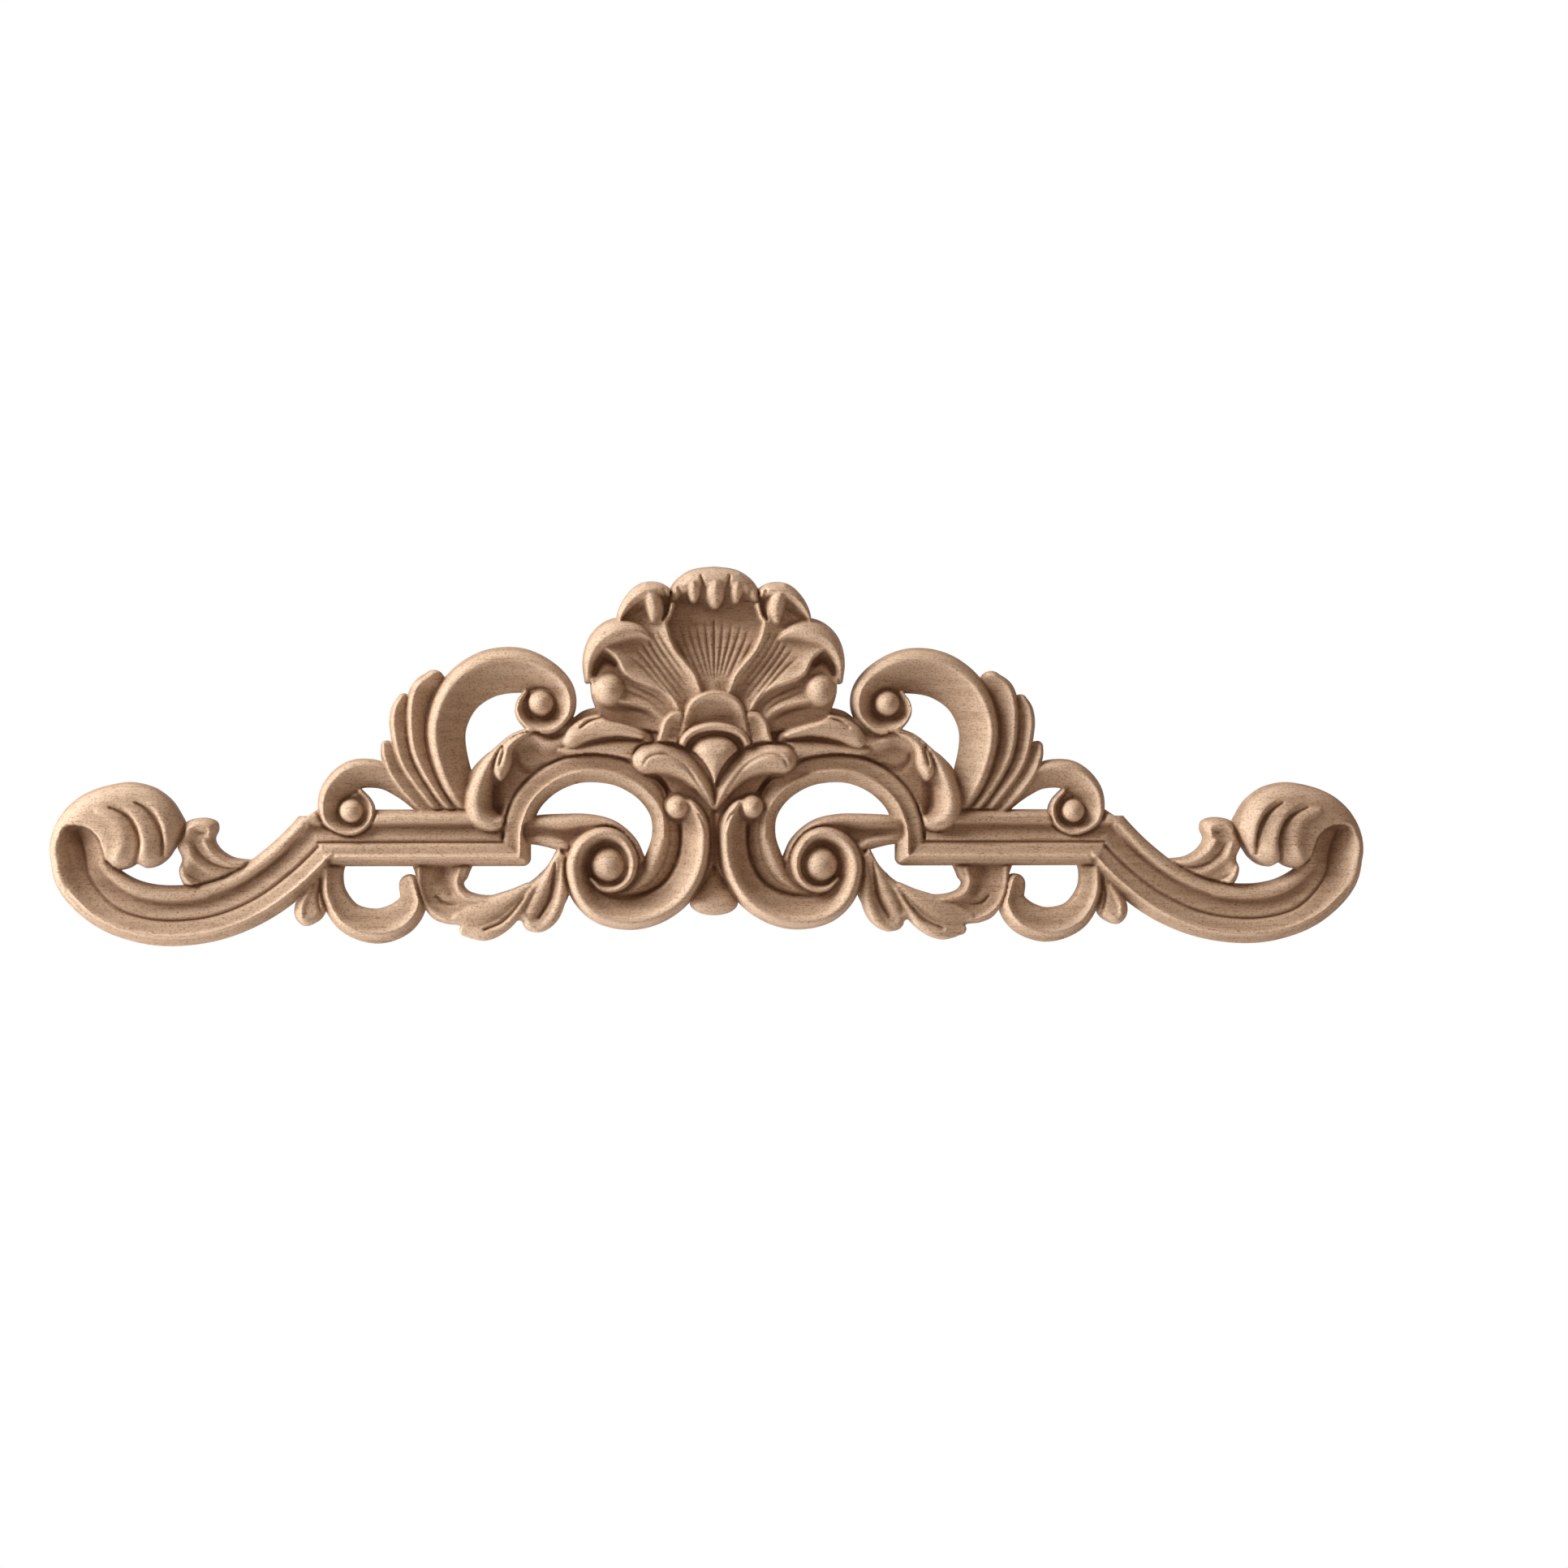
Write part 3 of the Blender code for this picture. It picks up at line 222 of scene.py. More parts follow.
CURL = section((0, .2), (.12, .7), (.3, .95), (.45, 1), (.58, .9), (.75, .55), (.9, .2), (1, 0))
RIB = section((0, 0), (.1, .6), (.21, .97), (.27, 1), (.33, .88), (.85, .3), (1, .1), soften=0.012)
ROUND = section((0, 0), (.1, .5), (.25, .87), (.5, 1), (.75, .87), (.9, .5), (1, 0))
SCALE = section((0, 0), (.12, .75), (.25, 1), (.4, .9), (.7, .4), (1, 0), soften=0.03)


# A length shorter than any in the drawing, and a longer one.
TINY, HUGE = 1e-9, 1e9


def nearest(path, gx, gz, reach):
    """For each grid point: share of the reach, side, run past an end, and the place along the path."""
    count = len(path) - 1
    best = np.full(gx.shape, HUGE)
    side, past, place = np.zeros((3, *gx.shape))
    for i in range(count):
        (ax, az), (bx, bz) = path[i, :2], path[i + 1, :2]
        dx, dz = bx - ax, bz - az
        length = np.hypot(dx, dz)
        if length < TINY:
            continue
        raw = ((gx - ax) * dx + (gz - az) * dz) / length**2
        along = np.clip(raw, 0, 1)
        away = np.hypot(gx - ax - along * dx, gz - az - along * dz)
        share = away / (reach[i] + along * (reach[i + 1] - reach[i]))
        closer = share < best
        across = (dx * (gz - az) - dz * (gx - ax)) / length
        beyond = np.zeros(gx.shape)
        if i == 0:
            beyond = np.maximum(-raw, 0) * length
        if i == count - 1:
            beyond = np.maximum(beyond, (raw - 1) * length)
        best = np.where(closer, share, best)
        side = np.where(closer, np.where(beyond > 0, across, np.sign(across) * away), side)
        past = np.where(closer, beyond, past)
        place = np.where(closer, i + along, place)
    return best, side, past, place


# How far past a shape the grid is looked at, and the least half width of a curve, in millimetres.
MARGIN = 2.5
HALF_LEAST = 0.1
# Steps drawn between two rows of a stroke and between two corners of an outline.
CURVE_STEPS = 8
RING_STEPS = 5
# How full a stroke's tip stays, and how many half widths out its section is read.
TIP_ROUNDING = 0.7
SIDE_REACH = 1.3
# Where a dish starts, as a share of the rolled rim, and the run of the outermost one.
DISH_START = 0.8
LAST_DISH_RUN = 6
FAR_OUTSIDE = -50.0


class Relief:
    """Heights over the back plane on a grid, with the distance inside the carving's outline."""

    def __init__(self, step):
        left = to_mm(CENTRE_X - LEFT_PX, GROUND_Y)[0]
        top = to_mm(CENTRE_X, GROUND_Y - TOP_PX)[1]
        bottom = to_mm(CENTRE_X, GROUND_Y + BOTTOM_PX)[1]
        self.xs = np.arange(-math.ceil(-left / step), 1) * step
        self.zs = np.arange(math.floor(bottom / step), math.ceil(top / step) + 1) * step
        self.x, self.z = np.meshgrid(self.xs, self.zs)
        self.height = np.zeros(self.x.shape)
        self.inside = np.full(self.x.shape, FAR_OUTSIDE)

    def window(self, points, reach):
        """The grid's lines and columns within the reach of the points."""
        across, up = [(column.min() - reach, column.max() + reach) for column in points[:, :2].T]
        return slice(*np.searchsorted(self.zs, up)), slice(*np.searchsorted(self.xs, across))

    def along(self, rows, steps=CURVE_STEPS):
        """A curve's points, half widths and grid window, and how it lies to the grid there."""
        path = spline(rows_mm(rows), steps)
        half = np.maximum(path[:, 2] / 2, HALF_LEAST)
        win = self.window(path, half.max() + MARGIN)
        return path, half, win, nearest(path, self.x[win], self.z[win], half)

    def lay(self, win, value, depth_in, within, over, moat=None):
        """Lay a shape on the relief, with a moat cut round it where one is asked for."""
        height = self.height[win]
        if moat:
            width, deep = moat
            cut = np.where((depth_in < 0) & (depth_in > -width), 1 + depth_in / width, 0)
            height = np.maximum(height - deep * cut, FLOOR)
        replaced = np.where(over, value, np.maximum(height, value))
        self.height[win] = np.where(within, replaced, height)
        self.inside[win] = np.maximum(self.inside[win], depth_in)

    def stroke(self, rows, profile, edge=EDGE, moat=None, over=True, flip=False, late=None, late_at=(0, 1),
               clip=(), steps=CURVE_STEPS, seam=None):
        """A carved band along a curve; over can be the share of the width past which it replaces, seam
        gives the share where the section's seam lies at the start and the share it drifts to, and each
        clip a point on a cutting line, the direction kept and how far the cut laps over, in mm."""
        path, half, win, (best, side, past, place) = self.along(rows, steps)
        gx, gz = self.x[win], self.z[win]
        marks = np.arange(len(path))
        width = np.interp(place, marks, half)
        top = np.interp(place, marks, path[:, 3])
        cap = np.sqrt(np.clip(1 - (past / width) ** 2, 0, 1))
        share = 0.5 - 0.5 * np.clip(side / np.maximum(width * cap, TINY), -SIDE_REACH, SIDE_REACH)
        if flip:
            share = 1 - share
        blend = ease((place / (len(path) - 1) - late_at[0]) / (late_at[1] - late_at[0]))
        if seam:
            first = seam[0]
            now = first + (seam[1] - first) * blend
            share = np.where(share < now, share * first / now, 1 - (1 - share) * (1 - first) / (1 - now))
        level = profile(share)
        if late:
            level = level * (1 - blend) + late(share) * blend
        value = edge + (top - edge) * level * np.where(past > 0, cap**TIP_ROUNDING, 1)
        within = best <= 1
        depth_in = (1 - best) * width
        for px, py, dx, dz, lap in clip:
            x, z, _ = to_mm(px, py)
            distance = ((gx - x) * dx + (gz - z) * dz) / math.hypot(dx, dz)
            within &= distance >= 0
            depth_in = np.minimum(depth_in, distance + lap)
        replace = share > over if isinstance(over, float) else np.full(gx.shape, over)
        self.lay(win, value, depth_in, within, replace, moat)

    def dome(self, px, py, radius, top, tall=None, moat=None):
        """A round or oval boss, sized in pixels across and tall."""
        x, z, mm = to_mm(px, py)
        rx, rz = radius * mm, (tall or radius) * mm
        win = self.window(np.array([[x, z]]), max(rx, rz) + MARGIN)
        away = np.hypot((self.x[win] - x) / rx, (self.z[win] - z) / rz)
        value = EDGE + (top - EDGE) * np.sqrt(np.clip(1 - away**2, 0, 1))
        self.lay(win, value, (1 - away) * min(rx, rz), away <= 1, False, moat)

    def ridge(self, rows, edge=EDGE):
        """A rounded band that shows where it stands over what is there."""
        self.stroke(rows, ROUND, edge=edge, over=False)

    def grooves(self, *cuts):
        """V-cuts, each a curve of rows of x, y and width, and its depth."""
        for rows, depth in cuts:
            _, _, win, (best, _, _, _) = self.along(rows)
            cut = depth * np.clip(1 - best, 0, 1)
            height = self.height[win]
            self.height[win] = np.where(best < 1, np.maximum(height - cut, FLOOR), height)

    def round_corner(self, px, py, radius):
        """Round off the lower right corner of a plate with a level and an upright side."""
        x, z, mm = to_mm(px - radius, py - radius)
        right, down = self.x - x, z - self.z
        near = (right > 0) & (down > 0) & (right < 2 * radius * mm) & (down < 2 * radius * mm)
        rounded = np.minimum(self.inside, radius * mm - np.hypot(right, down))
        self.inside = np.where(near, rounded, self.inside)

    def swells(self, *swells):
        """Raised or sunk lines, each a curve of rows of x, y and width, and its rise: a soft ridge or,
        with a section, a scale that starts on the curve's right and fades as it narrows."""
        for rows, rise, *profile in swells:
            path, half, win, (best, side, _, place) = self.along(rows)
            level = ease(1 - best)
            if profile:
                width = np.interp(place, np.arange(len(path)), half)
                share = 0.5 + 0.5 * np.clip(side / width, -1, 1)
                level = np.where(best < 1, profile[0](share) * width / half.max(), 0)
            self.height[win] = np.maximum(self.height[win] + rise * level, FLOOR)

    def ring(self, outline):
        """The grid window of a closed outline and how far inside it each grid point lies."""
        corners = [to_mm(*point)[:2] for point in outline]
        ring = spline(corners[-1:] + corners + corners[:2], RING_STEPS)[RING_STEPS:-RING_STEPS]
        win = self.window(ring, MARGIN)
        gx, gz = self.x[win], self.z[win]
        away = nearest(ring, gx, gz, np.ones(len(ring)))[0]
        crossings = np.zeros(gx.shape, int)
        for (ax, az), (bx, bz) in zip(ring[:-1], ring[1:]):
            spans = (az <= gz) != (bz <= gz)
            if bz != az:
                crossings += spans & (ax + (gz - az) / (bz - az) * (bx - ax) > gx)
        return win, np.where(crossings % 2 == 1, away, -away)

    def pad(self, outline, top, rim=1.0, dish=0.0, fall=2.5, edge=EDGE, over=True):
        """A leaf or plate inside a closed outline: a rolled rim, a dish, and a top that is a height or
        a slope between two rows of x, y and height."""
        win, depth_in = self.ring(outline)
        if isinstance(top, list):
            (ax, az, start), (bx, bz, end) = [(*to_mm(px, py)[:2], height) for px, py, height in top]
            run = (self.x[win] - ax) * (bx - ax) + (self.z[win] - az) * (bz - az)
            top = start + (end - start) * np.clip(run / ((bx - ax) ** 2 + (bz - az) ** 2), 0, 1)
        roll = np.sqrt(1 - (1 - np.clip(depth_in / rim, 0, 1)) ** 2)
        value = edge + (top - edge) * roll - dish * ease((depth_in - rim * DISH_START) / fall)
        self.lay(win, value, depth_in, depth_in >= 0, over)

    def fan(self, outline, ridges, dishes, cliff):
        """Panels between ridges, from the centre line outwards; a ridge's rows give x, y and the heights
        on its inner and outer sides, a dish how far its panel sags."""
        win, depth_in = self.ring(outline)
        gx, gz = self.x[win], self.z[win]
        value = np.zeros(gx.shape)
        last = None
        for ridge, next_dish in zip(ridges, dishes):
            rows = [(*to_mm(px, py)[:2], near, far) for px, py, near, far in ridge]
            path = spline(rows, CURVE_STEPS)
            away, side, _, place = nearest(path, gx, gz, np.ones(len(path)))
            marks = np.arange(len(path))
            near = np.interp(place, marks, path[:, 2])
            far = np.interp(place, marks, path[:, 3])
            crest = np.maximum(near, far)
            if last:
                away_in, far_in, crest_in, outer_in, dish = last
                share = away_in / (away_in + away)
                level = far_in * (1 - share) + near * share - 4 * dish * share * (1 - share)
                level += (crest_in - far_in) * (1 - ease(away_in / cliff))
                level += (crest - near) * (1 - ease(away / cliff))
                value = np.where(outer_in, level, value)
            last = (away, far, crest, side <= 0, next_dish)
        level = far + (crest - far) * (1 - ease(away / cliff)) - next_dish * ease(away / LAST_DISH_RUN)
        value = np.where(side <= 0, level, value)
        self.lay(win, value, depth_in, depth_in >= 0, True)


def beside(rows, share, width):
    """A line that runs along a band at a share of its width to the left of its middle."""
    out = []
    for index, (px, py, band_width, _) in enumerate(rows):
        before, after = rows[max(index - 1, 0)], rows[min(index + 1, len(rows) - 1)]
        dx, dy = after[0] - before[0], after[1] - before[1]
        step = share * band_width / math.hypot(dx, dy)
        out.append((px + step * dy, py - step * dx, width))
    return out


def mirrored(points):
    """The left half of an outline followed by its mirror image."""
    return points + [(2 * CENTRE_X - px, py) for px, py in reversed(points) if px != CENTRE_X]


def webs(wood):
    """The low wood between leaves, scrolls and shell, and the bud at the bottom middle."""
    web = [(600, 1000), (612, 965), (628, 925), (650, 900), (690, 892), (706, 884), (722, 874), (760, 866),
           (800, 850), (900, 850), (900, 1100), (850, 1100), (826, 1070), (826, 1030), (800, 965),
           (740, 942), (690, 952), (660, 975), (640, 1010)]
    middle_bud = mirrored([(880, 1066), (868, 1084), (853, 1104), (851, 1116), (862, 1125), (880, 1128)])
    bud_top = [(880, 1085, 7), (880, 1112, 9.5)]
    wood.pad(web, 6.5)
    wood.pad(middle_bud, bud_top, rim=7)


def hanging_bud(wood):
    """The small bud that peeps out under the bar's left end."""
    outline = [(392, 1064), (380, 1086), (364, 1110), (362, 1128), (372, 1140), (386, 1138), (400, 1124),
               (410, 1080)]
    cheek = [(384, 1092, 6), (373, 1112, 12), (372, 1128, 6)]
    crease = [(396, 1082, 2), (391, 1100, 5), (393, 1118, 4), (398, 1128, 2)]
    top = [(392, 1080, 6), (375, 1135, 8.5)]
    wood.pad(outline, top, rim=3)
    wood.grooves((crease, 2))
    wood.swells((cheek, .8))


def hanging_scroll(wood):
    """The C that hangs below the bar and ends in a broad tip."""
    band = [(412, 1050, 34, 6), (408, 1076, 28, 8), (411, 1104, 32, 9), (430, 1131, 38, 9),
            (463, 1141, 43, 9), (492, 1132, 42, 9), (508, 1112, 34, 9), (504, 1090, 26, 8)]
    wood.stroke(band, HANGING, flip=True)


def acanthus(wood):
    """The leaf below the bar: a hollow stub, then two lobes folded along their slits."""
    outline = [(510, 1050), (512, 1080), (516, 1105), (530, 1129), (548, 1138), (567, 1141), (577, 1155),
               (592, 1157), (615, 1151), (639, 1134), (648, 1145), (660, 1148), (678, 1140), (691, 1122),
               (702, 1100), (709, 1065), (707, 1040), (697, 1035), (687, 1045), (674, 1067), (655, 1085),
               (633, 1096), (604, 1103), (580, 1099), (571, 1089), (577, 1078), (580, 1050)]
    stub_rim = [(516, 1068, 8), (517, 1092, 11), (526, 1116, 11), (544, 1130, 10), (566, 1136, 5)]
    stub_hollow = [(545, 1062, 24), (546, 1082, 32), (556, 1098, 20)]
    stub_cheek = [(566, 1070, 8), (562, 1090, 12), (574, 1104, 12), (600, 1110, 8)]
    stub_crease = [(537, 1104, 3), (547, 1113, 5), (562, 1115, 2)]
    lobes = [
        [(573, 1146, 15, 8), (598, 1148, 22, 9.3), (622, 1136, 20, 9.6), (640, 1116, 16, 9.8),
         (655, 1096, 8, 9.5)],
        [(562, 1130, 10, 8), (588, 1128, 30, 9), (612, 1116, 28, 9.6), (633, 1104, 18, 9.8),
         (650, 1092, 9, 9)],
        [(650, 1138, 12, 8), (664, 1142, 14, 9), (680, 1130, 16, 9.8), (690, 1106, 15, 10),
         (694, 1070, 12, 9.5), (697, 1044, 6, 8.5)],
        [(648, 1140, 6, 8), (655, 1122, 18, 9.5), (668, 1096, 18, 9.8), (682, 1066, 12, 9.5),
         (692, 1046, 6, 8.5)],
    ]
    right_slit = [(684, 1062, 2), (681, 1080, 5), (677, 1106, 6), (663, 1131, 3)]
    left_slit = [(646, 1104, 2), (632, 1122, 5), (617, 1136, 6), (596, 1145, 3)]
    top = [(545, 1075, 5.5), (620, 1110, 9)]
    wood.pad(outline, top, rim=2.4, dish=.8, fall=4)
    wood.swells((stub_rim, 1.5), (stub_hollow, -1.2), (stub_cheek, 1))
    for lobe in lobes:
        wood.ridge(lobe, 7.5)
    wood.grooves((right_slit, 2.4), (left_slit, 2.4), (stub_crease, 1.8))


OUTER_RIB = [(541, 1010, 20, 5), (514, 985, 22, 7), (490, 955, 23, 8), (479, 932, 20, 7.5),
             (476, 919, 15, 6.5)]


def feather_ribs(wood):
    """Three ribs behind the upper scroll, each over the one outside it."""
    middle_rib = [(555, 1010, 22, 5.5), (529, 978, 24, 7.5), (502, 938, 26, 8), (492, 898, 25, 8),
                  (492, 876, 23, 7.5), (497, 862, 17, 7)]
    inner_rib = [(572, 1010, 24, 6), (543, 972, 27, 8), (520, 928, 30, 9), (514, 885, 30, 9),
                 (519, 853, 31, 8.5), (534, 838, 27, 8)]
    for rib in (OUTER_RIB, middle_rib, inner_rib):
        wood.stroke(rib, RIB)


def rib_over_tail(wood):
    """The outermost rib again, where it passes over the tail of the small C."""
    wood.stroke(OUTER_RIB, RIB, over=False)


def upper_scroll(wood):
    """The large C with its eye above the bar."""
    hollow = [(650, 850), (640, 870), (650, 890), (680, 890), (690, 865), (675, 845)]
    band = [(588, 1010, 26, 5), (562, 962, 42, 9.5), (549, 915, 48, 11), (552, 882, 51, 11),
            (569, 851, 55, 11), (600, 830, 58, 11), (636, 825, 56, 11), (668, 834, 46, 11),
            (690, 852, 36, 11), (694, 876, 28, 11), (678, 894, 22, 11), (656, 893, 18, 11),
            (642, 880, 14, 10.5), (641, 866, 11, 10), (648, 853, 7, 9.5)]
    eye = (666, 866, 17, 12)
    wood.pad(hollow, 6)
    wood.stroke(band, PLANED)
    wood.dome(*eye, moat=(.8, 1.8))


def bar(wood):
    """The straight moulding, mitred at both ends."""
    band = [(720, 1032, 70, 9), (300, 1032, 70, 9)]
    right_end = (654, 1032, -1, 0, 0)
    mitre = (390, 1035, 64, 30, .3)
    corner_nip = (373, 1008, 11, -17, 0)
    wood.stroke(band, MOULDING, steps=2, clip=[right_end, mitre, corner_nip])
    bead = [(402, 1055, BEAD_PX), (520, 1055, BEAD_PX), (640, 1055, BEAD_PX)]
    bead_foot = [(404, 1060, BEAD_PX), (520, 1060, BEAD_PX), (642, 1060, BEAD_PX)]
    wood.grooves((bead_foot, BEAD_CUT))
    wood.swells((bead, BEAD_RISE))


def leaf_cluster(wood):
    """The three lobes over the arch and the wood that falls to the arch's groove."""
    outline = [(579, 952), (574, 985), (580, 1010), (595, 1024), (615, 1024), (630, 1010), (655, 985),
               (700, 962), (760, 950), (803, 950), (806, 908), (775, 890), (743, 882), (705, 896),
               (680, 908), (660, 900), (640, 903), (612, 920), (595, 932)]
    left_hollow = [(620, 940, 16), (610, 965, 28), (610, 988, 26), (616, 1006, 16)]
    left_lobe = [(622, 1009, 10, 9), (607, 1012, 24, 10), (592, 1002, 34, 11), (589, 984, 34, 11),
                 (594, 963, 29, 11), (602, 944, 23, 11), (613, 928, 16, 10.5), (633, 909, 12, 10.5),
                 (656, 899, 9, 10)]
    tip_lobe = [(606, 949), (608, 936), (615, 922), (626, 911), (641, 903), (657, 901), (641, 913),
                (632, 925), (630, 942), (624, 954), (617, 962), (610, 958)]
    tip_slit = [(618, 918, 2), (620, 925, 5), (617, 935, 4), (615, 943, 2)]
    tip_shadow = [(636, 928, 6), (640, 940, 14), (654, 948, 18), (672, 942, 10)]
    low_leaf = [(812, 925, 20, 10), (780, 924, 28, 10), (745, 926, 30, 10), (712, 925, 18, 9.5),
                (690, 924, 8, 8.5)]
    top_lobe = [(693, 912), (700, 896), (719, 884), (742, 880), (760, 884), (776, 893), (794, 903),
                (790, 910), (764, 907), (741, 909), (723, 914), (706, 921), (696, 919)]
    top_slit = [(714, 897, 2), (727, 888, 5), (746, 884, 2)]
    top_nick = [(752, 890, 2), (760, 892, 3), (768, 894, 2)]
    lobe_foot = [(700, 923, 2), (725, 918, 5), (760, 911, 5), (790, 913, 2)]
    low_crease = [(716, 936, 2), (745, 938, 4), (775, 935, 2)]
    top = [(590, 1000, 7), (700, 900, 9)]
    top_lobe_top = [(700, 910, 11.5), (755, 895, 13)]
    wood.pad(outline, top, rim=2.5, dish=2.6, fall=4)
    wood.swells((left_hollow, -1.5))
    wood.stroke(left_lobe, CURL, edge=5, over=False)
    wood.pad(tip_lobe, 11.5, rim=2.4, edge=6)
    wood.grooves((tip_slit, 2.5))
    wood.swells((tip_shadow, -1))
    wood.ridge(low_leaf, 6)
    wood.pad(top_lobe, top_lobe_top, rim=3.5, edge=8)
    wood.grooves((top_slit, 3), (top_nick, 1.2), (lobe_foot, 1), (low_crease, 1))


ARCH_BAND = [(636, 1160, 36, 9), (636, 1035, 36, 9), (641, 1006, 36, 8.5), (653, 982, 36, 8.5),
             (676, 961, 36, 8.5), (706, 948, 36, 8.5), (738, 946, 36, 8.5), (770, 953, 36, 8.5),
             (800, 972, 36, 8.5), (819, 1000, 36, 8.5), (822, 1032, 37, 8.5), (813, 1062, 38, 8.5),
             (801, 1083, 33, 8), (785, 1097, 24, 7.5), (766, 1104, 14, 6.5)]


def arch(wood):
    """The moulding that steps up from the bar, runs round the opening and dies beside the volute."""
    mitre = (618, 1035, 31, 36, .1)
    corner = (654, 1067, 10)
    bead_foot = (640, 1056, BEAD_PX)
    wood.stroke(ARCH_BAND, ARCH, late=ARCH_TAIL, late_at=(.5, .62), flip=True, clip=[mitre])
    wood.round_corner(*corner)
    rows = ARCH_BAND[ARCH_ROWS]
    wood.grooves((beside(rows, ARCH_LINE, ARCH_LINE_PX), ARCH_LINE_DEPTH))
    wood.swells(([bead_foot] + beside(rows, ARCH_BEAD, BEAD_PX), BEAD_RISE))


def side_leaf(wood):
    """The leaf between the head and the end scroll."""
    outline = [(226, 1014), (238, 1008), (254, 1007), (266, 1012), (268, 1022), (264, 1032), (267, 1041),
               (276, 1050), (292, 1057), (322, 1058), (350, 1050), (330, 1090), (260, 1110), (236, 1098),
               (224, 1088), (219, 1072), (223, 1058), (217, 1042), (220, 1026)]
    folds = [
        ([(232, 1022, 8), (244, 1015, 18), (258, 1019, 16), (258, 1030, 8)], 1.4),
        ([(224, 1068, 8), (227, 1080, 14), (238, 1090, 10)], 1.2),
        ([(232, 1040, 8), (240, 1058, 16), (262, 1074, 14), (286, 1078, 8)], 1.0),
        ([(252, 1036, 8), (262, 1050, 14), (282, 1062, 10), (300, 1064, 6)], .8),
    ]
    creases = [
        ([(239, 1040, 2), (246, 1052, 4), (261, 1064, 5), (280, 1069, 4), (298, 1068, 2)], 1.6),
        ([(232, 1078, 2), (246, 1085, 4), (264, 1084, 2)], 1.4),
        ([(240, 1020, 2), (250, 1026, 4), (258, 1022, 2)], .8),
    ]
    top = [(240, 1030, 9.5), (300, 1080, 7)]
    wood.pad(outline, top, rim=3, dish=.8, fall=4)
    wood.swells(*folds)
    wood.grooves(*creases)


END_BAND = [(424, 992, 74, 9), (391, 1034, 74, 9), (353, 1071, 74, 9), (310, 1102, 74, 9),
            (261, 1122, 74, 9), (209, 1128, 75, 9), (166, 1122, 74, 9), (131, 1106, 74, 9),
            (102, 1079, 71, 10), (93, 1049, 67, 11)]


def end_scroll(wood):
    """The bar's moulding sweeps down and round and rises under the rolled head with its fingers."""
    head = [(70, 1084), (62, 1066), (59, 1048), (61, 1030), (68, 1012), (80, 995), (98, 980), (120, 970),
            (145, 964), (165, 963), (190, 970), (210, 985), (222, 1003), (228, 1018), (222, 1034),
            (213, 1047), (206, 1057), (194, 1066), (180, 1069), (168, 1064), (160, 1068), (150, 1071),
            (136, 1071), (126, 1064), (100, 1060), (80, 1078)]
    mitre = (390, 1035, -64, -30, .3)
    tip = (380, 1005, 0, -1, 0)
    first_finger = [(122, 998, 10), (144, 1008, 30), (153, 1032, 32), (146, 1058, 18)]
    second_finger = [(146, 989, 4), (166, 996, 18), (181, 1014, 28), (187, 1038, 30), (183, 1056, 26),
                     (176, 1068, 14)]
    third_finger = [(177, 983, 4), (196, 993, 16), (209, 1012, 24), (214, 1034, 24), (210, 1050, 12)]
    first_line = [(136, 994, 2), (153, 1002, 5), (166, 1014, 7), (173, 1033, 8), (171, 1050, 8),
                  (166, 1062, 7)]
    second_line = [(168, 988, 2), (182, 997, 5), (193, 1010, 7), (200, 1027, 7), (200, 1052, 5)]
    rim_cove = [(377, 1018, 4), (362, 1036, 10), (341, 1058, 10), (301, 1086, 8), (257, 1104, 4)]
    leaf_joint = [(230, 1010, 3), (225, 1028, 8), (214, 1048, 6)]
    head_top = [(70, 1040, 10.5), (135, 1010, 13)]
    wood.pad(head, head_top, rim=7)
    wood.stroke(END_BAND, MOULDING, over=.15, late=MOULDING_END, late_at=(.68, .98), seam=(.418, .64),
                  clip=[mitre, tip])
    wood.grooves((beside(END_BAND[BEAD_ROWS], BEAD_FOOT, BEAD_PX), BEAD_CUT))
    bead = beside(END_BAND[BEAD_ROWS], BEAD, BEAD_PX)
    wood.swells((bead, BEAD_RISE), (rim_cove, -1.4), (first_finger, 1), (second_finger, 2, SCALE),
                (third_finger, 2, SCALE))
    wood.grooves((first_line, 2.4), (second_line, 2.4), (leaf_joint, 1.5))


def small_scroll(wood):
    """The small C that stands on the bar and curls over it."""
    hollow = [(432, 955), (415, 975), (405, 1000), (420, 1018), (440, 1018), (454, 1002), (452, 986),
              (443, 972)]
    band = [(514, 993, 12, 4.5), (494, 972, 22, 6), (470, 955, 33, 7.5), (436, 954, 37, 9),
            (411, 975, 34, 9), (405, 1003, 26, 9), (416, 1018, 16, 9), (433, 1023, 13, 9),
            (449, 1015, 12, 9), (456, 1000, 11, 9), (453, 987, 9, 8.8), (443, 975, 7, 8.5)]
    eye = (432, 999, 15.5, 10.5)
    wood.pad(hollow, 5)
    wood.stroke(band, PLANED, flip=True, moat=(.8, 1.5))
    wood.dome(*eye, moat=(.8, 1.5))


def arch_stems(wood):
    """Two stems that leave the arch and wrap the volute."""
    web = [(648, 1012), (690, 1010), (735, 1012), (750, 1020), (700, 1052), (685, 1044), (648, 1036)]
    lower = [(640, 1034, 12, 5), (662, 1034, 14, 6.5), (690, 1040, 16, 7.5), (706, 1050, 10, 7)]
    upper = [(640, 1016, 14, 5), (664, 1013, 18, 7), (692, 1013, 21, 8.5), (722, 1011, 17, 9),
             (748, 1014, 13, 9), (766, 1023, 11, 8.5), (781, 1038, 10, 8), (789, 1058, 12, 7)]
    wood.pad(web, 5)
    wood.ridge(lower)
    wood.ridge(upper)


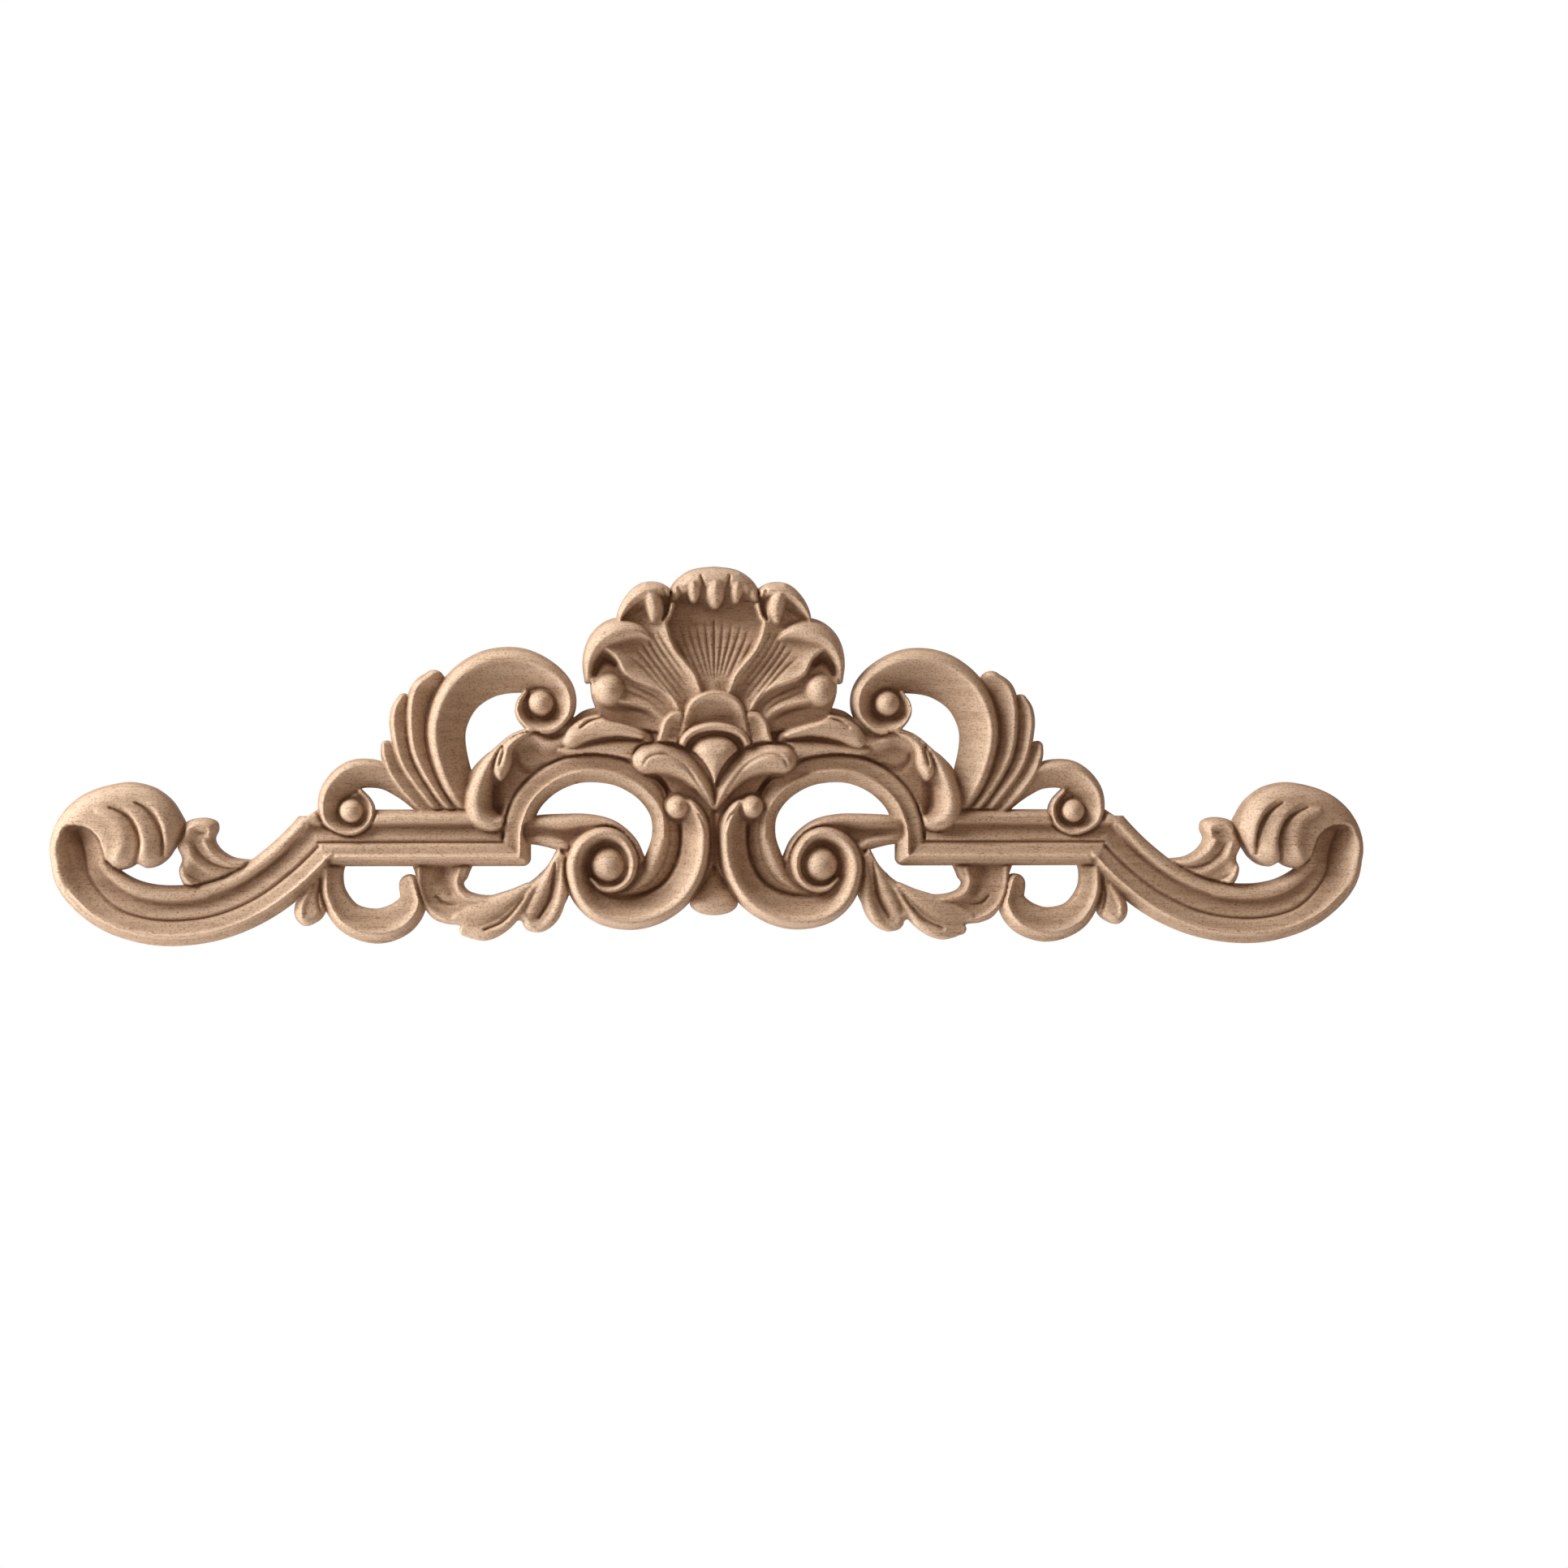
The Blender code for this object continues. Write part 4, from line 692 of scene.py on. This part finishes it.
def shell(wood):
    """The scallop: a dished fan between its ridges, with a curl and a ball at each side."""
    outline = [(742, 884), (730, 862), (727, 840), (727, 822), (733, 800), (755, 775), (780, 758),
               (805, 742), (830, 732), (850, 726), (880, 722), (905, 722), (905, 905), (840, 905),
               (800, 900), (765, 892)]
    middle = [(880, 735, 6, 6), (880, 770, 6.3, 6.3), (880, 810, 8, 8), (880, 852, 10, 10)]
    first = [(812, 735, 8, 12), (819, 767, 8.2, 12.4), (823, 784, 8.5, 12.4), (831, 802, 8.6, 12.2),
             (844, 818, 9, 12), (854, 831, 9.4, 11.8), (860, 847, 9.8, 11.6), (866, 866, 10, 11.2)]
    second = [(745, 798, 11.8, 8), (761, 812, 12, 8), (769, 828, 12, 8), (780, 836, 12, 8.2),
              (796, 842, 11.8, 8.4), (812, 848, 11.6, 8.8), (825, 858, 11.2, 9), (834, 871, 11, 9.5),
              (842, 888, 10.5, 9.5)]
    third = [(740, 858, 10.5, 8), (764, 863, 10.5, 8), (780, 866, 10.4, 8), (796, 871, 10.2, 8.2),
             (809, 879, 10, 8.5), (822, 892, 9.8, 9)]
    curl_hollow = [(732, 830, 10), (738, 816, 20), (748, 811, 20), (757, 817, 10)]
    curl = [(724, 838, 8, 9), (725, 818, 15, 11.5), (732, 800, 24, 13.5), (744, 787, 33, 14.5),
            (760, 779, 37, 15), (777, 777, 30, 14.5), (790, 780, 20, 13.5), (799, 786, 10, 12)]
    ball = (750, 850, 22, 13.5, 23)
    wood.fan(outline, [middle, first, second, third], dishes=[0.4, 2.6, 0.8, 0.5], cliff=1.4)
    wood.swells((curl_hollow, -3))
    wood.ridge(curl)
    wood.dome(*ball)


def shoulder(wood):
    """The hooded curl at each shoulder of the shell."""
    backing = [(763, 768), (768, 752), (782, 738), (800, 730), (822, 732), (828, 745), (824, 764),
               (812, 772), (780, 772)]
    hood = [(761, 770, 5, 11), (767, 754, 12, 13.5), (778, 740, 19, 14.8), (793, 730, 25, 15.5),
            (809, 727, 21, 15.3), (822, 731, 14, 14.5), (830, 740, 8, 13.5)]
    lobe = [(797, 728, 22, 15), (803, 740, 26, 15.8), (805, 752, 22, 15), (804, 763, 12, 13.5)]
    strip = [(828, 728, 8, 14), (828, 743, 8, 13.8), (824, 758, 8, 13), (819, 767, 7, 12.4)]
    slit = [(817, 728, 2), (821, 740, 6), (820, 752, 6), (816, 764, 3)]
    wood.pad(backing, 9, rim=4, edge=8.5, over=False)
    wood.ridge(strip, 5)
    wood.ridge(hood, 5.5)
    wood.ridge(lobe, 9)
    wood.grooves((slit, 4))


def top_fold(wood):
    """The shell's top edge folded forwards, with a drop in the middle and one at each side."""
    fold = [(829, 737, 12, 10), (838, 725, 22, 13.5), (856, 716, 30, 15), (880, 714, 33, 15.4),
            (900, 714, 33, 15.4)]
    side_drop = [(852, 712, 14, 14), (853, 722, 20, 15.4), (854, 730, 19, 14.8), (854, 737, 12, 13.5)]
    middle_drop = [(880, 712, 22, 14.4), (880, 721, 29, 16), (880, 732, 27, 15.6), (880, 741, 18, 14)]
    side_slit = [(862, 710, 2), (865, 722, 6), (865, 737, 6)]
    corner_hole = [(834, 722, 3), (837, 729, 8), (840, 738, 5)]
    wood.stroke(fold, ROUND, edge=5)
    wood.ridge(side_drop, 8)
    wood.ridge(middle_drop, 8)
    wood.grooves((side_slit, 3), (corner_hole, 2.5))


def calyx(wood):
    """The petals at the shell's root, the collar and the drop under it."""
    side_petal = [(812, 920), (812, 900), (816, 887), (825, 878), (836, 876), (848, 881), (866, 892),
                  (866, 920)]
    side_top = [(822, 882, 12), (846, 905, 10.5)]
    middle_petal = mirrored([(842, 915), (838, 896), (842, 877), (849, 863), (862, 854), (880, 850)])
    middle_top = [(880, 855, 13.5), (880, 890, 10.5)]
    under_collar = mirrored([(880, 1000), (860, 985), (834, 928), (840, 905), (856, 893), (880, 888)])
    collar = [(838, 930, 9, 11), (842, 912, 12, 13.5), (856, 900, 13, 14.2), (880, 895, 13, 14.4),
              (904, 900, 13, 14.2)]
    drop = mirrored([(880, 905), (863, 908), (852, 919), (851, 932), (857, 947), (868, 963), (880, 984)])
    drop_top = [(880, 925, 15.5), (880, 980, 12)]
    middle_gap = [(880, 986, 4), (880, 1000, 8), (880, 1050, 8), (880, 1078, 4)]
    wood.pad(side_petal, side_top, rim=1.1, dish=1.6, fall=4, edge=7.5)
    wood.pad(middle_petal, middle_top, rim=1.2, dish=1.8, fall=4, edge=7.5)
    wood.pad(under_collar, 6.5, edge=6)
    wood.stroke(collar, ROUND, edge=7)
    wood.pad(drop, drop_top, rim=8, edge=7)
    wood.grooves((middle_gap, 1.2))


def root_curl(wood):
    """The curl that springs from below the drop and rolls over the arch."""
    curl = [(879, 994, 8, 9), (866, 966, 26, 11.5), (849, 946, 36, 12.5), (829, 936, 40, 13.5),
            (811, 934, 41, 14), (798, 935, 40, 14)]
    crease = [(791, 944, 2), (797, 934, 4), (813, 929, 5), (830, 935, 5), (846, 947, 5), (862, 970, 4),
              (873, 989, 2)]
    gap = [(795, 955, 3), (808, 956, 7), (819, 966, 8), (825, 980, 5)]
    gap_line = [(806, 962, 2), (815, 972, 3), (819, 986, 2)]
    wood.stroke(curl, CURL, edge=6, late=ROUND, late_at=(.5, .85))
    wood.grooves((crease, 1.2), (gap, 2), (gap_line, 1.2))


def lower_scroll(wood):
    """The large C below the collar, from its ball round into the volute and its eye."""
    hollow = [(749, 1030), (715, 1050), (715, 1085), (735, 1110), (775, 1108), (790, 1090), (794, 1070),
              (775, 1038)]
    band = [(843, 988, 12, 10), (850, 999, 30, 12), (857, 1018, 36, 12.5), (857, 1045, 38, 12.5),
            (851, 1072, 39, 12.5), (834, 1100, 40, 12.5), (806, 1119, 41, 12.5), (775, 1126, 40, 12.5),
            (742, 1120, 37, 12.5), (719, 1100, 33, 12.5), (709, 1070, 30, 12.5), (716, 1046, 28, 12.5),
            (731, 1032, 25, 12.5), (749, 1028, 22, 12.5), (766, 1037, 21, 12), (777, 1058, 20, 12),
            (774, 1080, 17, 11.5), (760, 1093, 13, 11), (742, 1094, 11, 10.5), (729, 1083, 8, 10)]
    ball_crease = [(854, 998, 2), (862, 1006, 4), (869, 1024, 2)]
    outer_line = [(837, 1012, 2), (839, 1024, 4), (838, 1046, 4), (832, 1067, 4), (819, 1086, 4),
                  (803, 1097, 4), (780, 1103, 4), (757, 1104, 2)]
    inner_line = [(822, 1002, 2), (825, 1020, 4), (824, 1040, 4), (817, 1065, 4), (802, 1086, 3),
                  (784, 1095, 2)]
    eye = (749, 1065, 23, 12.5)
    ball = (834, 994, 15.5, 14)
    wood.pad(hollow, 6, over=False)
    wood.stroke(band, LOWER_SCROLL, late=VOLUTE, late_at=(.4, .52))
    wood.dome(*eye, moat=(.7, 1.8))
    wood.dome(*ball, moat=(.6, 1.5))
    wood.grooves((ball_crease, 2), (outer_line, 1.5), (inner_line, 1.2))


def carve(step):
    """The whole drawing cut as a height field, back to front."""
    wood = Relief(step)
    for layer in (webs, hanging_bud, hanging_scroll, acanthus, feather_ribs, upper_scroll, bar,
                  leaf_cluster, arch, side_leaf, end_scroll, small_scroll, rib_over_tail, arch_stems,
                  shell, shoulder, top_fold, calyx, root_curl, lower_scroll):
        layer(wood)
    return wood


def blurred(field, sigma):
    """The field smoothed over sigma millimetres, mirrored at the centre line."""
    reach = int(3 * sigma / GRID_STEP) + 1
    kernel = np.exp(-0.5 * (np.arange(-reach, reach + 1) * GRID_STEP / sigma) ** 2)
    kernel /= kernel.sum()
    padded = np.pad(field, ((reach, reach), (reach, 0)), mode="edge")
    padded = np.pad(padded, ((0, 0), (0, reach)), mode="reflect")
    lines = sum(share * padded[k:k + field.shape[0]] for k, share in enumerate(kernel))
    return sum(share * lines[:, k:k + field.shape[1]] for k, share in enumerate(kernel))


def kept_cells(inside):
    """Grid cells inside the outline, with cells that only touch by a corner joined up."""
    middle = (inside[:-1, :-1] + inside[1:, :-1] + inside[:-1, 1:] + inside[1:, 1:]) / 4
    cells = middle > 0
    while True:
        a, b, c, d = cells[:-1, :-1], cells[1:, :-1], cells[:-1, 1:], cells[1:, 1:]
        crossed = (a & d & ~b & ~c) | (b & c & ~a & ~d)
        if not crossed.any():
            return cells
        lines, columns = np.nonzero(crossed)
        for line, column in zip(lines, columns):
            cells[line:line + 2, column:column + 2] = True


def front_sheet(wood, height):
    """The carved front of the left half as an open sheet whose rim lies on the outline."""
    cells = kept_cells(wood.inside)
    around = np.pad(cells.astype(int), 1)
    count = around[:-1, :-1] + around[1:, :-1] + around[:-1, 1:] + around[1:, 1:]
    used = count > 0
    number = np.cumsum(used.ravel()).reshape(used.shape) - 1
    slope_z, slope_x = np.gradient(wood.inside, GRID_STEP)
    steep = np.maximum(slope_x**2 + slope_z**2, SLOPE_LEAST)
    run = np.clip(wood.inside / steep, -GRID_STEP, GRID_STEP)
    rim = used & (count < 4)
    rim[:, -1] = used[:, -1] & (count[:, -1] < 2)
    x = wood.x - np.where(rim, run * slope_x, 0)
    z = wood.z - np.where(rim, run * slope_z, 0)
    x[:, -1] = 0
    y = -np.where(rim, EDGE, np.maximum(height, FLOOR))
    points = np.stack([x, y, z], axis=-1)[used] * MM
    corners = [number[:-1, :-1], number[:-1, 1:], number[1:, 1:], number[1:, :-1]]
    quads = np.stack(corners, axis=-1)[cells]
    mesh = bpy.data.meshes.new("half_front")
    mesh.from_pydata(points.tolist(), [], quads.tolist())
    return mesh


def placed(name, data):
    made = bpy.data.objects.new(name, data)
    bpy.context.scene.collection.objects.link(made)
    return made


def reduced(mesh):
    """The same sheet with fewer triangles where it is flat or gentle."""
    half = placed("half_front", mesh)
    decimate = half.modifiers.new("Decimate", "DECIMATE")
    decimate.ratio = KEPT_SHARE
    seen = half.evaluated_get(bpy.context.evaluated_depsgraph_get())
    lighter = bpy.data.meshes.new_from_object(seen)
    bpy.data.objects.remove(half)
    return lighter


def closed_body(half_front, name):
    """Both halves of the front, walls down to the back plane and the flat back."""
    body = bmesh.new()
    body.from_mesh(half_front)
    for vert in body.verts:
        if vert.is_boundary and vert.co.x > -PLANE_REACH * MM:
            vert.co.x = 0
    half = body.verts[:] + body.edges[:] + body.faces[:]
    bmesh.ops.mirror(body, geom=half, axis="X", merge_dist=MERGE_REACH * MM)
    rim = [edge for edge in body.edges if edge.is_boundary]
    walls = bmesh.ops.extrude_edge_only(body, edges=rim)["geom"]
    for part in walls:
        if isinstance(part, bmesh.types.BMVert):
            part.co.y = 0
    foot = [part for part in walls if isinstance(part, bmesh.types.BMEdge) and part.is_boundary]
    bmesh.ops.triangle_fill(body, use_beauty=True, use_dissolve=False, edges=foot)
    bmesh.ops.recalc_face_normals(body, faces=body.faces)
    mesh = bpy.data.meshes.new(name)
    body.to_mesh(mesh)
    body.free()
    return mesh


def sampled(wood, field, points):
    """The field read at each point of the mesh, the right half mirrored, and nothing on the plain back."""
    across = (-np.abs(points[:, 0]) / MM - wood.xs[0]) / GRID_STEP
    up = (points[:, 2] / MM - wood.zs[0]) / GRID_STEP
    column = np.clip(np.rint(across).astype(int), 0, field.shape[1] - 1)
    line = np.clip(np.rint(up).astype(int), 0, field.shape[0] - 1)
    return np.where(points[:, 1] < -PLANE_REACH * MM, field[line, column], 0)


def add_field(mesh, name, values):
    layer = mesh.attributes.new(name, "FLOAT", "POINT")
    layer.data.foreach_set("value", values.astype(np.float32))


def carved_piece():
    """The whole carving, with how far each point lies in a cut or on a crest kept for the wood's painted
    shade and painted highlight.
    """
    wood = carve(GRID_STEP)
    wood.grooves(*[(vein, VEIN_DEPTH) for vein in SHELL_VEINS])
    solid = np.where(wood.inside > 0, wood.height, 0)
    filled = np.where(wood.inside > 0, wood.height, EDGE)
    height = np.maximum(blurred(filled, SANDING), blurred(filled, CREASE_REACH) - CREASE_DEEPEST)
    mesh = closed_body(reduced(front_sheet(wood, height)), "onlay_carving")
    points = np.empty(len(mesh.vertices) * 3)
    mesh.vertices.foreach_get("co", points)
    points = points.reshape(-1, 3)
    # Painted shade: the wood is darkened where it lies below the wood around it, at three reaches.
    for name, reach, gain, _ in PAINTED_SHADES:
        depth = np.clip(gain * (blurred(solid, reach) - height), 0, 1)
        add_field(mesh, name, sampled(wood, depth, points))
    # Painted highlight: the wood is made paler where it stands over the wood around it.
    crest = np.clip(HIGHLIGHT_GAIN * (height - blurred(filled, HIGHLIGHT_REACH)), 0, 1)
    add_field(mesh, "crest", sampled(wood, crest, points))
    mesh.shade_smooth()
    mesh.set_sharp_from_angle(angle=math.radians(SHARP_ANGLE))
    return placed("onlay_carving", mesh)


def node(tree, kind, inputs, output, **settings):
    """A new node's output; its inputs are values or other nodes' outputs."""
    made = tree.nodes.new(kind)
    for name, value in settings.items():
        setattr(made, name, value)
    for name, value in inputs.items():
        if isinstance(value, bpy.types.NodeSocket):
            tree.links.new(value, made.inputs[name])
        else:
            made.inputs[name].default_value = value
    return made.outputs[output]


def ramp(tree, value, low, high):
    """The value spread from 0 at low to 1 at high."""
    inputs = {"Value": value, "From Min": low, "From Max": high}
    return node(tree, "ShaderNodeMapRange", inputs, "Result", interpolation_type="SMOOTHSTEP")


def scaled(tree, value, factor):
    return node(tree, "ShaderNodeMath", {0: value, 1: factor}, "Value", operation="MULTIPLY")


def noise(tree, coords, stretch, scale, detail, low, high, strength):
    """Noise on the wood's coordinates: its value, and how strongly it shows."""
    mapped = node(tree, "ShaderNodeMapping", {"Vector": coords, "Scale": stretch}, "Vector")
    inputs = {"Vector": mapped, "Scale": scale, "Detail": detail}
    value = node(tree, "ShaderNodeTexNoise", inputs, "Fac")
    return value, scaled(tree, ramp(tree, value, low, high), strength)


def attribute(tree, name):
    return node(tree, "ShaderNodeAttribute", {}, "Fac", attribute_name=name)


def mixed(tree, share, first, second, blend="MIX"):
    """The first colour where the share is 0, and where it is 1 the second, or their product."""
    inputs = {"Factor": share, "A": first, "B": second}
    return node(tree, "ShaderNodeMix", inputs, "Result", data_type="RGBA", blend_type=blend)


def new_material(name, roughness):
    made = bpy.data.materials.new(name)
    made.use_nodes = True
    shader = made.node_tree.nodes["Principled BSDF"]
    shader.inputs["Roughness"].default_value = roughness
    return made, made.node_tree, shader


def raw_wood():
    """Pale unfinished wood: long soft grain, short dark pores, fine speckle, painted shade in the cuts, a
    painted highlight on the crests.
    """
    material, tree, shader = new_material("raw_wood", ROUGHNESS)
    coords = node(tree, "ShaderNodeTexCoord", {}, "Object")
    _, grain = noise(tree, coords, *GRAIN_NOISE)
    streak_height, streaks = noise(tree, coords, *STREAK_NOISE)
    speckle_height, speckles = noise(tree, coords, *SPECKLE_NOISE)
    _, pores = noise(tree, coords, *PORE_NOISE)
    colour = mixed(tree, grain, WOOD_LIGHT, WOOD_MID)
    # Painted highlight on the crests.
    colour = mixed(tree, scaled(tree, attribute(tree, "crest"), PAINTED_HIGHLIGHT_SHARE), colour, PAINTED_HIGHLIGHT)
    tints = [(streaks, STREAK), (speckles, SPECKLE), (pores, PORE)]
    # The streaks, speckles and pores are the wood's own colour; the tints of the cuts are painted shade.
    tints += [(attribute(tree, name), tint) for name, _, _, tint in PAINTED_SHADES]
    for share, tint in tints:
        colour = mixed(tree, share, colour, tint, "MULTIPLY")
    normal = None
    for height, (strength, distance) in ((speckle_height, SPECKLE_BUMP), (streak_height, STREAK_BUMP)):
        inputs = {"Height": height, "Strength": strength, "Distance": distance}
        if normal:
            inputs["Normal"] = normal
        normal = node(tree, "ShaderNodeBump", inputs, "Normal")
    tree.links.new(colour, shader.inputs["Base Color"])
    tree.links.new(normal, shader.inputs["Normal"])
    return material


def floor():
    """A plain pale floor well below the onlay, which hangs free."""
    bpy.ops.mesh.primitive_plane_add(size=FLOOR_SIZE, location=(0, 0, FLOOR_Z))
    plane = bpy.context.object
    plane.name = "floor"
    material, _, shader = new_material("floor_white", FLOOR_ROUGHNESS)
    shader.inputs["Base Color"].default_value = FLOOR_COLOUR
    plane.data.materials.append(material)
    plane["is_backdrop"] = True


def soft_light(name, place, size, power, colour):
    data = bpy.data.lights.new(name, "AREA")
    data.shape = "DISK"
    data.size = size
    data.energy = power
    data.color = colour
    light = placed(name, data)
    light.location = place
    light.rotation_euler = (Vector(LIT_POINT) - Vector(place)).to_track_quat("-Z", "Y").to_euler()


def studio():
    """Soft light from the upper left, less from the lower left, and a world that is white behind."""
    for light in LIGHTS:
        soft_light(*light)
    world = bpy.context.scene.world or bpy.data.worlds.new("studio")
    bpy.context.scene.world = world
    world.use_nodes = True
    tree = world.node_tree
    tree.nodes.clear()
    direction = node(tree, "ShaderNodeTexCoord", {}, "Generated")
    depth = node(tree, "ShaderNodeSeparateXYZ", {"Vector": direction}, "Y")
    colour = mixed(tree, ramp(tree, depth, BEHIND_FROM, BEHIND_FULL), FRONT_AMBIENT, BEHIND)
    background = node(tree, "ShaderNodeBackground", {"Color": colour}, "Background")
    output = tree.nodes.new("ShaderNodeOutputWorld")
    tree.links.new(background, output.inputs["Surface"])
    bpy.context.scene.view_settings.view_transform = "Standard"


def camera():
    """The photograph's view: level and a little from the left."""
    middle = PICTURE_SIZE / 2
    x, z, mm = to_mm(middle, middle)
    scale = 1 / mm
    turn = math.asin(PX_GROWTH * CAMERA_DISTANCE / MM)
    target = Vector((x * MM, -FOCUS_HEIGHT * MM, z * MM))
    data = bpy.data.cameras.new("camera")
    data.sensor_width = SENSOR_WIDTH
    data.lens = SENSOR_WIDTH * scale * CAMERA_DISTANCE / MM / PICTURE_SIZE
    view = placed("camera", data)
    view.location = target - CAMERA_DISTANCE * Vector((math.sin(turn), math.cos(turn), 0))
    view.rotation_euler = (math.radians(90), 0, -turn)
    bpy.context.scene.camera = view


def write_size(name, corners, sizes):
    sizes[name] = [list(corner) for corner in corners]


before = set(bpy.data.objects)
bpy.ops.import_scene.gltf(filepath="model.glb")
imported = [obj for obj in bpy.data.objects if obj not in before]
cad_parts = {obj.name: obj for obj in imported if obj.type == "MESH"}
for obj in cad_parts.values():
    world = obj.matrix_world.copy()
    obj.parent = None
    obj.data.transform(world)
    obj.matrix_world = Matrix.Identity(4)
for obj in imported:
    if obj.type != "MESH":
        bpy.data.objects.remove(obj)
sizes = {}
write_size("cad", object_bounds(), sizes)
onlay = carved_piece()
onlay.data.materials.append(raw_wood())
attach(onlay, "root")
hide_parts(NODE)
floor()
studio()
camera()
write_size("visual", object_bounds(), sizes)
